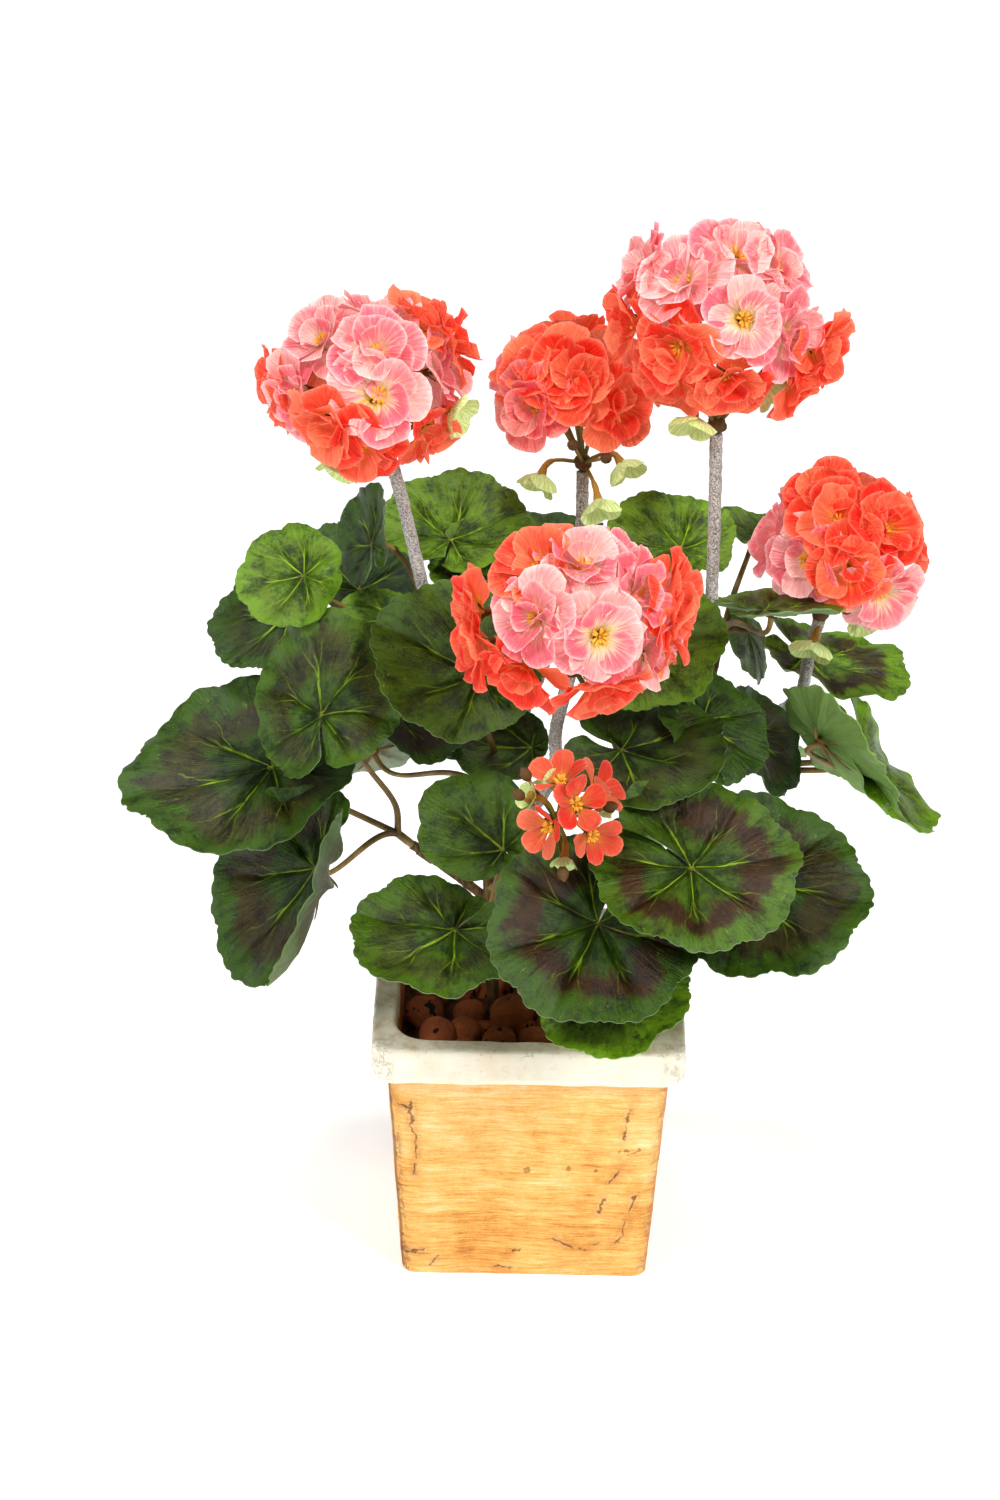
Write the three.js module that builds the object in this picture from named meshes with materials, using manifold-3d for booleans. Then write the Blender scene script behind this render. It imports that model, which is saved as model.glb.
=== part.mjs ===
// A potted geranium: a square clay pot, its filling, a woody stem, leafy stems and flower heads on stalks.
// Millimetres, +Z up. The origin is the centre of the pot's underside, and the front faces -Y.

import * as THREE from 'three';
import { mergeVertices } from 'three/addons/utils/BufferGeometryUtils.js';
import Module from 'manifold-3d';

const wasm = await Module();
wasm.setup();

// Driving sizes of the pot
const rimWidth = 130;
const potHeight = 116.6;
const rimHeight = 17.8;
const rimWall = 9.75;
const bodyTopWidth = 117.2;
const bodyBottomWidth = 104.2;
const floorThickness = 10;
const wallThickness = 9;
const edgeRound = 2;

// Driving sizes of the plant
const touchGap = 0.3;
const sliver = 0.1;
const bedTop = 99;
const holeDepth = 24;
const bladeThickness = 0.9;
const petalThickness = 0.8;
const stemRadius = 2.7;
const branchRadius = 2.1;
const forkRadius = 1.8;
const stemSides = 5;
const petioleSides = 4;
const petioleRadius = 1.4;
const stalkRadius = 2.6;
const thinStalkRadius = 1.3;
const pedicelRadius = 1.1;
const hubRadius = 4.2;
const floretWidth = 28;
const floretDepth = 9.5;
const frontFlorets = 12;
const bellWidth = 15;
const bellDepth = 8;

const deg = Math.PI / 180;
const up = new THREE.Vector3(0, 0, 1);
const vec = (p) => new THREE.Vector3(p[0], p[1], p[2]);

// Colours and finishes
function finish(color, roughness) {
  return new THREE.MeshStandardMaterial({ color, roughness, metalness: 0 });
}

const finishes = {
  clay: finish('#e2b56c', 0.75),
  pellets: finish('#7a4a36', 0.95),
  wood: finish('#5a4326', 0.7),
  brightLeaf: finish('#3f7f1c', 0.5),
  darkLeaf: finish('#24502f', 0.5),
  flock: finish('#9a9288', 0.95),
  pink: finish('#f58ea0', 0.7),
  coral: finish('#f4573f', 0.7),
};

// Solids

function toSolid(geometry) {
  const bare = geometry.clone();
  bare.deleteAttribute('normal');
  bare.deleteAttribute('uv');
  const merged = mergeVertices(bare, 1e-4);
  const mesh = new wasm.Mesh({
    numProp: 3,
    vertProperties: new Float32Array(merged.attributes.position.array),
    triVerts: new Uint32Array(merged.index.array),
  });
  return new wasm.Manifold(mesh);
}

// The largest body of a solid, without the crumbs that a cut leaves beyond it
function mainBody(solid) {
  return solid.decompose().sort((a, b) => b.volume() - a.volume())[0];
}

function toMesh(name, solid, material) {
  const { vertProperties, triVerts } = mainBody(solid.simplify(sliver)).getMesh();
  const geometry = new THREE.BufferGeometry();
  geometry.setAttribute('position', new THREE.BufferAttribute(vertProperties, 3));
  geometry.setIndex(new THREE.BufferAttribute(triVerts, 1));
  geometry.computeVertexNormals();
  const mesh = new THREE.Mesh(geometry, material);
  mesh.name = name;
  return mesh;
}

function fuse(solids) {
  return wasm.Manifold.union(solids);
}

// A round section swept along a curve
function tube(curve, radius, sides, steps) {
  const section = new THREE.Shape();
  for (let i = 0; i < sides; i++) {
    const a = (i / sides) * 2 * Math.PI;
    const x = radius * Math.cos(a);
    const y = radius * Math.sin(a);
    if (i === 0) section.moveTo(x, y);
    else section.lineTo(x, y);
  }
  section.closePath();
  return toSolid(new THREE.ExtrudeGeometry(section, {
    steps,
    bevelEnabled: false,
    extrudePath: curve,
  }));
}

function through(points) {
  return new THREE.CatmullRomCurve3(points.map(vec));
}

// Triangles between two rows of points, each given by its first number and its count of steps
function stitch(a, b, number = (row, i) => row.first + i) {
  const faces = [];
  let i = 0;
  let j = 0;
  while (i < a.steps || j < b.steps) {
    const advanceB = i === a.steps || (j < b.steps && (j + 0.5) / b.steps <= (i + 0.5) / a.steps);
    const corners = advanceB ? [[b, j], [b, j + 1]] : [[b, j], [a, i + 1]];
    faces.push([number(a, i), ...corners.map(([row, k]) => number(row, k))]);
    if (advanceB) j += 1;
    else i += 1;
  }
  return faces;
}

// One closed skin over rings of points, with the first and the last ring closed. A ring may be one point.
function skin(rings) {
  const positions = rings.flat().flatMap((p) => [p.x, p.y, p.z]);
  const faces = [];
  let first = 0;
  const rows = rings.map((ring) => {
    const row = { first, count: ring.length, steps: ring.length > 1 ? ring.length : 0 };
    first += ring.length;
    return row;
  });
  const around = (row, i) => row.first + (i % row.count);
  for (let r = 0; r + 1 < rows.length; r++) faces.push(...stitch(rows[r + 1], rows[r], around));
  const last = rows[rows.length - 1];
  for (let i = 1; i + 1 < rows[0].count; i++) faces.push([0, i + 1, i]);
  for (let i = 1; i + 1 < last.count; i++) faces.push([last.first, last.first + i, last.first + i + 1]);
  const geometry = new THREE.BufferGeometry();
  geometry.setAttribute('position', new THREE.Float32BufferAttribute(positions, 3));
  geometry.setIndex(faces.flat());
  return toSolid(geometry);
}

// A square with round corners, level at height z
function squareRing(width, corner, z) {
  const half = width / 2 - corner;
  const steps = 3;
  const ring = [];
  for (let quarter = 0; quarter < 4; quarter++) {
    const turn = quarter * 90 * deg;
    const cx = half * Math.sign(Math.cos(turn + 45 * deg));
    const cy = half * Math.sign(Math.sin(turn + 45 * deg));
    for (let i = 0; i <= steps; i++) {
      const a = turn + (i / steps) * 90 * deg;
      ring.push(new THREE.Vector3(cx + corner * Math.cos(a), cy + corner * Math.sin(a), z));
    }
  }
  return ring;
}

// A thin sheet: open triangles given a thickness along their vertex normals, with walls at the open edges
function sheet(points, faces, thickness) {
  const normals = points.map(() => new THREE.Vector3());
  for (const [a, b, c] of faces) {
    const n = points[b].clone().sub(points[a]).cross(points[c].clone().sub(points[a]));
    for (const i of [a, b, c]) normals[i].add(n);
  }
  const positions = [];
  for (const side of [0.5, -0.5]) {
    points.forEach((p, i) => {
      const q = p.clone().addScaledVector(normals[i].clone().normalize(), side * thickness);
      positions.push(q.x, q.y, q.z);
    });
  }
  const below = points.length;
  const index = [];
  const open = new Set();
  for (const [a, b, c] of faces) {
    index.push(a, b, c, below + a, below + c, below + b);
    for (const [s, e] of [[a, b], [b, c], [c, a]]) {
      if (!open.delete(`${e} ${s}`)) open.add(`${s} ${e}`);
    }
  }
  for (const edge of open) {
    const [s, e] = edge.split(' ').map(Number);
    index.push(s, below + s, below + e, s, below + e, e);
  }
  const geometry = new THREE.BufferGeometry();
  geometry.setAttribute('position', new THREE.Float32BufferAttribute(positions, 3));
  geometry.setIndex(index);
  return toSolid(geometry);
}

// Pot

function makePot() {
  const bodyTop = potHeight - rimHeight;
  const opening = rimWidth - 2 * rimWall;
  const floorWidth = bodyBottomWidth - 2 * wallThickness;
  return skin([
    squareRing(bodyBottomWidth - 2 * edgeRound, 6, 0),
    squareRing(bodyBottomWidth, 7, edgeRound),
    squareRing(bodyTopWidth, 7, bodyTop),
    squareRing(rimWidth - edgeRound, 7, bodyTop + 0.4),
    squareRing(rimWidth, 8, bodyTop + edgeRound),
    squareRing(rimWidth, 8, potHeight - edgeRound),
    squareRing(rimWidth - 2 * edgeRound, 8, potHeight),
    squareRing(opening + 2 * edgeRound, 15, potHeight),
    squareRing(opening, 15, potHeight - edgeRound),
    squareRing(floorWidth, 12, floorThickness),
  ]);
}

// Filling: a bed that stands clear of the pot by the touch gap, with clay pellets sunk in its top

const pelletRadius = 6.9;
const pelletSpacing = 18.5;
// The pellets that show at the front left: x, y, height of the centre and radius
const shownPellets = [
  [-44, -10, 103, 8.5], [-38, -27, 101, 9], [-27, -22, 101, 7], [-41, 5, 103, 7],
  [-25, -7, 102, 7.5], [-7, -10, 103, 9.5], [-12, -28, 100, 7.5], [3, -27, 100, 7.5],
];

function cavityWidth(z) {
  const opening = rimWidth - 2 * rimWall;
  const floorWidth = bodyBottomWidth - 2 * wallThickness;
  const share = (z - floorThickness) / (potHeight - edgeRound - floorThickness);
  return floorWidth + share * (opening - floorWidth);
}

function makeFilling(stemHole) {
  const bottom = floorThickness + touchGap;
  const inset = 2 * touchGap + 0.2;
  const bed = skin([
    squareRing(cavityWidth(bottom) - inset, 12, bottom),
    squareRing(cavityWidth(bedTop) - inset, 14.5, bedTop),
  ]);
  const pellets = shownPellets.map(([x, y, z, r]) => {
    const ball = new THREE.DodecahedronGeometry(r, 0);
    ball.rotateX(x);
    return toSolid(ball.translate(x, y, z));
  });
  const reach = cavityWidth(bedTop) / 2 - pelletRadius - 1.5;
  for (let row = -4; row <= 4; row++) {
    for (let column = -4; column <= 4; column++) {
      const x = (column + (row % 2) / 2) * pelletSpacing + 0.8 * Math.sin(5 * row + column);
      const y = row * pelletSpacing * 0.87 + 0.8 * Math.cos(3 * column + row);
      if (Math.abs(x) > reach || Math.abs(y) > reach) continue;
      if (Math.hypot(x - stemFoot[0], y - stemFoot[1]) < pelletRadius + stemRadius) continue;
      if (shownPellets.some((p) => Math.hypot(p[0] - x, p[1] - y) < 11)) continue;
      const ball = new THREE.IcosahedronGeometry(pelletRadius + 0.6 * Math.sin(7 * column + 3 * row), 0);
      ball.rotateZ(column);
      ball.rotateX(row);
      pellets.push(toSolid(ball.translate(x, y, bedTop + 2 + Math.sin(4 * column - row))));
    }
  }
  return fuse([bed, ...pellets]).subtract(stemHole);
}

// Woody stem and its side branches: each a run of points, with its radius

const stemFoot = [-14, 2];
const stemRuns = [
  {
    radius: stemRadius,
    points: [[-14, 2, bedTop - holeDepth], [-17, 0, 150], [-18, 1, 172], [-14, 6, 205], [-6, 12, 230]],
  },
  { radius: branchRadius, points: [[-17, 0, 152], [-34, 0, 166], [-50, 0, 178]] },
  { radius: branchRadius, points: [[-18, 1, 172], [10, 8, 188], [50, 12, 203], [92, 14, 211]] },
  { radius: branchRadius, points: [[62, 12, 206], [70, 20, 232], [76, 30, 258]] },
  { radius: branchRadius, points: [[-14, 6, 205], [-24, 14, 222], [-36, 22, 242]] },
];

// The stem's solid, or the room that it takes with the touch gap round it
function makeWoodyStem(clearance) {
  return fuse(stemRuns.map(({ radius, points }, i) => {
    const run = points.map((p) => [...p]);
    if (i === 0) run[0][2] -= clearance;
    return tube(through(run), radius + clearance, stemSides, 2 * (points.length - 1));
  }));
}

// Leaves
//
// A blade is a round kidney shape with seven lobes. The point where the petiole meets it is its own origin,
// +X runs to its tip and +Z is its upper face. It is then turned to its heading, tilted and put in place.

const lobes = 7;
const smallLeaf = 40;
const sinusHalf = 14;

function bladeReach(angle, offset = 0.28) {
  const kidney = offset * Math.cos(angle) + Math.sqrt(1 - (offset * Math.sin(angle)) ** 2);
  const span = Math.PI - sinusHalf * deg;
  const lobe = Math.abs(Math.cos((angle / span) * lobes * 0.5 * Math.PI + (lobes % 2 ? 0 : 0.5 * Math.PI)));
  return kidney * (0.93 + 0.07 * Math.sqrt(lobe));
}

// Height of the blade over its own plane, as a share of its radius
function bladeHeight(leaf, share, angle) {
  const { cup = 0.1, wave = 0.06, turn = 0 } = leaf;
  return cup * share ** 2 + wave * share ** 3 * Math.sin(3 * angle + turn);
}

// Rolls the parts of the blade to either side of its fold line up by an angle
function foldPoint(p, leaf) {
  const { foldLine = 0, foldLeft = 0, foldRight = 0, radius } = leaf;
  const line = new THREE.Vector3(Math.cos(foldLine * deg), Math.sin(foldLine * deg), 0);
  const across = new THREE.Vector3(-line.y, line.x, 0);
  const along = p.dot(line);
  const d = p.dot(across);
  const angle = (d > 0 ? foldLeft : foldRight) * deg;
  if (angle === 0) return p;
  const width = 0.55 * radius;
  const out = Math.abs(d);
  const bent = Math.min(out, width);
  const a = (angle * bent) / width;
  const r = width / angle;
  let y = r * Math.sin(a);
  let z = r * (1 - Math.cos(a));
  if (out > width) {
    y += (out - width) * Math.cos(angle);
    z += (out - width) * Math.sin(angle);
  }
  y -= p.z * Math.sin(a);
  z += p.z * Math.cos(a);
  return line.multiplyScalar(along).addScaledVector(across, Math.sign(d) * y).addScaledVector(up, z);
}

function bladeFrame(leaf) {
  const lean = leaf.lean * deg;
  const axis = new THREE.Vector3(-Math.sin(lean), Math.cos(lean), 0);
  const frame = new THREE.Matrix4().makeTranslation(...leaf.at);
  frame.multiply(new THREE.Matrix4().makeRotationAxis(axis, leaf.tilt * deg));
  return frame.multiply(new THREE.Matrix4().makeRotationZ(leaf.heading * deg));
}

function makeBlade(leaf) {
  const frame = bladeFrame(leaf);
  const span = Math.PI - sinusHalf * deg;
  const points = [new THREE.Vector3()];
  const isSmall = leaf.radius < smallLeaf;
  const inner = { share: 0.52, steps: isSmall ? 7 : 9 };
  const outer = { share: 1, steps: lobes * (isSmall ? 2 : 3) };
  for (const ring of [inner, outer]) {
    ring.first = points.length;
    for (let i = 0; i <= ring.steps; i++) {
      const angle = -span + (i / ring.steps) * 2 * span;
      const reach = leaf.radius * ring.share * bladeReach(angle, leaf.offset);
      const z = leaf.radius * bladeHeight(leaf, ring.share, angle);
      points.push(foldPoint(new THREE.Vector3(reach * Math.cos(angle), reach * Math.sin(angle), z), leaf));
    }
  }
  const faces = stitch(inner, outer);
  for (let i = 0; i < inner.steps; i++) faces.push([0, inner.first + i, inner.first + i + 1]);
  return sheet(points.map((p) => p.applyMatrix4(frame)), faces, bladeThickness);
}

// The petiole leaves the fork upward and ends in the thickness of the blade, a little inside its notch
function makePetiole(fork, leaf) {
  const frame = bladeFrame(leaf);
  const tip = new THREE.Vector3(1, 0, 0).transformDirection(frame);
  const normal = new THREE.Vector3(0, 0, 1).transformDirection(frame);
  const end = vec(leaf.at).addScaledVector(tip, 3);
  const start = vec(fork);
  const length = start.distanceTo(end);
  const below = end.clone().addScaledVector(normal, -Math.min(7, 0.2 * length)).addScaledVector(tip, -3);
  if (leaf.by) {
    const points = [fork, ...leaf.by, below.toArray(), end.toArray()];
    return tube(through(points), petioleRadius, petioleSides, 5);
  }
  const out = end.clone().sub(start).normalize().addScaledVector(up, 0.5).normalize();
  const curve = new THREE.CubicBezierCurve3(
    start,
    start.clone().addScaledVector(out, 0.4 * length),
    end.clone().addScaledVector(normal, -0.35 * length),
    end,
  );
  return tube(curve, petioleRadius, petioleSides, 3);
}

// Leafy stems: each leaves the woody stem at its foot and forks into petioles. For each leaf: where the
// petiole meets it, its radius, how far it tilts off level and to which side it leans, where its tip heads,
// and how it is cupped, waved and folded.
const leafyStems = {
  left: {
    foot: [-50, 0, 178],
    fork: [-56, 0, 183],
    color: 'darkLeaf',
    leaves: [
      { at: [-108, -5, 215], radius: 50, tilt: 22, lean: -120, heading: -172, by: [[-79, -3, 196]] },
      {
        at: [-86, -35, 253], radius: 36, tilt: 62, lean: -145, heading: 78, foldRight: -75,
        by: [[-57, -6, 199], [-68, -18, 222]],
      },
      { at: [-88, -45, 189], radius: 44, tilt: 57, lean: -130, heading: -149, foldLine: 17, foldLeft: 70 },
    ],
  },
  upper_left: {
    foot: [-34, 20, 238],
    fork: [-38, 24, 246],
    color: 'brightLeaf',
    leaves: [
      { at: [-95, 5, 297], radius: 23, tilt: 45, lean: -108, heading: -178, offset: 0.25 },
      { at: [-75, 62, 266], radius: 27, tilt: 35, lean: -60, heading: 92, offset: 0.35 },
      { at: [-57, 15, 274], radius: 17.5, tilt: 22, lean: -75, heading: -165, offset: 0.6 },
      { at: [-68, 24, 303], radius: 22, tilt: 73, lean: -155, heading: 90 },
    ],
  },
  low_left: {
    foot: [-14, 6, 205],
    fork: [-30, 6, 215],
    color: 'darkLeaf',
    leaves: [
      {
        at: [-104, 45, 263], radius: 28, tilt: 45, lean: -135, heading: 160, offset: 0.35,
        by: [[-78, 15, 235]],
      },
      { at: [-58, -8, 246], radius: 28, tilt: 38, lean: -13, heading: -48, offset: 0.2 },
    ],
  },
  middle: {
    foot: [-15, 4, 195],
    fork: [-12, -4, 206],
    color: 'darkLeaf',
    leaves: [
      { at: [-22, -30, 270], radius: 36, tilt: 42, lean: -75, heading: 160, offset: 0.35 },
      { at: [-1, -5, 226], radius: 22.5, tilt: 20, lean: -95, heading: 178, offset: 0.7 },
    ],
  },
  upper_middle: {
    foot: [-12, 8, 214],
    fork: [-17, 22, 238],
    color: 'brightLeaf',
    leaves: [
      { at: [-36, 40, 299], radius: 32, tilt: 17, lean: -93, heading: 80, offset: 0.3 },
      { at: [-13, 25, 286], radius: 29, tilt: 30, lean: -97, heading: 114 },
      { at: [4, 66, 287], radius: 24, tilt: 6, lean: 160, heading: 82 },
    ],
  },
  front_left: {
    foot: [-17, 0, 145],
    fork: [-17, -14, 148],
    color: 'brightLeaf',
    leaves: [
      { at: [-12, -55, 204], radius: 24, tilt: 45, lean: -100, heading: 135, offset: 0.7 },
      { at: [-31, -70, 175], radius: 34, tilt: 18, lean: -75, heading: -138, offset: 0.38 },
    ],
  },
  front: {
    foot: [-16, 0, 132],
    fork: [-4, -24, 140],
    color: 'darkLeaf',
    leaves: [
      { at: [26, -92, 191], radius: 43, tilt: 36, lean: -86, heading: -112, offset: 0.12 },
      { at: [33, -84, 159], radius: 32, tilt: 22, lean: -110, heading: -86 },
    ],
  },
  front_right: {
    foot: [-18, 0, 158],
    fork: [4, -30, 184],
    color: 'brightLeaf',
    leaves: [
      {
        at: [62, -87, 214], radius: 43, tilt: 25, lean: -88, heading: -38, offset: 0.05,
        by: [[28, -50, 212], [48, -74, 214]],
      },
      { at: [90, -55, 192], radius: 44, tilt: 28, lean: -90, heading: -60, offset: 0.18 },
    ],
  },
  right: {
    foot: [24, 9, 193],
    fork: [28, -8, 205],
    color: 'darkLeaf',
    leaves: [
      { at: [35, -35, 240], radius: 34, tilt: 16, lean: -121, heading: -30, offset: 0.35 },
      { at: [68, -18, 246], radius: 26, tilt: 45, lean: -45, heading: -13, offset: 0.2 },
      { at: [89, 2, 232], radius: 25, tilt: 55, lean: -25, heading: 0, by: [[56, -8, 214], [76, -2, 221]] },
    ],
  },
  upper_right: {
    foot: [73, 25, 244],
    fork: [62, 20, 257],
    color: 'brightLeaf',
    leaves: [
      { at: [59, 35, 299], radius: 27, tilt: 24, lean: -80, heading: 125 },
      { at: [39, -12, 275], radius: 31, tilt: 45, lean: -110, heading: 0 },
    ],
  },
  top_right: {
    foot: [76, 30, 258],
    fork: [78, 31, 265],
    color: 'brightLeaf',
    leaves: [
      { at: [94, 66, 294], radius: 18, tilt: 12, lean: 0, heading: 140 },
      { at: [91, -22, 297], radius: 27, tilt: 12, lean: 100, heading: 30 },
      { at: [88, 24, 268], radius: 18, tilt: 100, lean: -155, heading: -139 },
    ],
  },
  far_right: {
    foot: [90, 14, 211],
    fork: [104, 20, 206],
    color: 'brightLeaf',
    leaves: [
      { at: [115, 60, 241], radius: 33, tilt: 12, lean: -5, heading: -20, offset: 0.4 },
      { at: [116, -15, 238], radius: 33, tilt: 60, lean: 38, heading: -23, by: [[124, 6, 214]] },
      { at: [136, 10, 221], radius: 37, tilt: 49, lean: 0, heading: -48 },
    ],
  },
  back_left: {
    foot: [-18, 2, 184],
    fork: [-20, 24, 192],
    color: 'darkLeaf',
    leaves: [
      { at: [-24, 85, 222], radius: 32, tilt: 40, lean: 95, heading: 100 },
      { at: [-68, 76, 186], radius: 33, tilt: 48, lean: 120, heading: 125, offset: 0.35 },
    ],
  },
  back_right: {
    foot: [34, 11, 198],
    fork: [38, 30, 200],
    color: 'brightLeaf',
    leaves: [
      { at: [38, 92, 164], radius: 34, tilt: 42, lean: 90, heading: 90 },
      { at: [84, 84, 190], radius: 32, tilt: 35, lean: 60, heading: 55 },
      { at: [6, 92, 258], radius: 28, tilt: 38, lean: 85, heading: 80 },
    ],
  },
};

function makeLeafyStem({ foot, fork, leaves }, stemRoom) {
  const pieces = [tube(through([foot, fork]), forkRadius, stemSides, 1)];
  for (const leaf of leaves) {
    pieces.push(makePetiole(fork, leaf));
    pieces.push(makeBlade(leaf));
  }
  return fuse(pieces).subtract(stemRoom);
}

// Flower stalks: each a run of points from the woody stem up to the head's hub

const stalks = {
  a: {
    radius: stalkRadius,
    points: [[-26, 15, 224], [-38, 12, 255], [-47, 5, 294], [-56, -8, 340], [-60, -14, 357]],
  },
  b: { radius: stalkRadius, points: [[-7, 12, 228], [4, 26, 252], [17, 45, 295], [18, 50, 327]] },
  c: {
    radius: stalkRadius,
    points: [[67, 17, 223], [70, 11, 245], [71, 10, 284], [71, 8, 316], [70, 5, 362]],
  },
  d: {
    radius: stalkRadius,
    points: [[-18, 1, 176], [-2, -20, 203], [8, -34, 230], [8, -44, 252], [13, -69, 290]],
  },
  e: {
    radius: stalkRadius,
    points: [[84, 14, 210], [98, 34, 222], [110, 27, 237], [113, 17, 262], [116, 13, 279]],
  },
  f: { radius: thinStalkRadius, points: [[-18, 0, 166], [4, -30, 191], [12, -60, 212], [10, -69, 221]] },
};

// Flower heads
//
// Each floret stands off the head's centre in a direction, given as degrees round from +X and degrees up,
// with how far out its middle lies, its diameter and its kind.

// Petals of each layer, how far out they reach as a share of the floret, how high they rise as a share of
// that reach, by how much one side of a petal stands over the next one, and where the layer starts
const layers = {
  outer: { petals: 5, share: 1, rise: 0.75, twist: 0.1, base: 0.6 },
  inner: { petals: 3, share: 0.58, rise: 1, twist: 0.1, base: 1.6 },
  bell: { petals: 4, share: 1, rise: 1.2, twist: 0.05, base: 0.6 },
};

// The rim of a layer of petals, in its own frame with +Z out of the open side: two shoulders to a petal
function petalRim(radius, layer, turn, lift) {
  const reach = radius * layer.share;
  const pitch = 360 / layer.petals;
  const rim = [];
  for (let i = 0; i < layer.petals; i++) {
    const middle = turn + i * pitch;
    for (const [angle, out, height] of [
      [middle - pitch * 0.3, 1, layer.rise + layer.twist],
      [middle + pitch * 0.3, 0.94, layer.rise - layer.twist],
    ]) {
      const r = out * reach - lift * layer.rise;
      const z = layer.base + height * reach + lift;
      rim.push(new THREE.Vector3(r * Math.cos(angle * deg), r * Math.sin(angle * deg), z));
    }
  }
  return rim;
}

// A floret or a spent bell with its pedicel, as one skin: up the pedicel, out under each layer of petals,
// over its rim and back in, and up to the next layer
function makeFloret(hub, base, direction, diameter, turn, kinds) {
  const tilt = new THREE.Quaternion().setFromUnitVectors(up, direction);
  const frame = new THREE.Matrix4().compose(base, tilt, new THREE.Vector3(1, 1, 1));
  const place = (ring) => ring.map((p) => p.applyMatrix4(frame));
  const around = (radius, z) => place([0, 120, 240].map((a) => {
    const angle = (turn + a) * deg;
    return new THREE.Vector3(radius * Math.cos(angle), radius * Math.sin(angle), z);
  }));
  // The pedicel runs straight from the hub to the neck, and bends below it where the two would meet askew
  const neckCentre = base.clone().addScaledVector(direction, -1.5);
  const neck = around(pedicelRadius, -1.5);
  const bend = base.clone().addScaledVector(direction, -5);
  const run = bend.clone().sub(hub).normalize();
  const facing = (centre, toward) => {
    const turned = new THREE.Quaternion().setFromUnitVectors(direction, toward);
    return neck.map((p) => p.clone().sub(neckCentre).applyQuaternion(turned).add(centre));
  };
  const rings = [facing(hub, run)];
  if (run.angleTo(direction) > 50 * deg) rings.push(facing(bend, run.clone().add(direction).normalize()));
  rings.push(neck);
  kinds.forEach((kind, i) => {
    const layer = layers[kind];
    rings.push(place(petalRim(diameter / 2, layer, turn, 0)));
    rings.push(place(petalRim(diameter / 2, layer, turn, petalThickness)));
    if (i + 1 < kinds.length) rings.push(around(1.7, layer.base + petalThickness + 0.5));
    else rings.push(place([new THREE.Vector3(0, 0, layer.base + petalThickness + 0.6)]));
  });
  return skin(rings);
}

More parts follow.
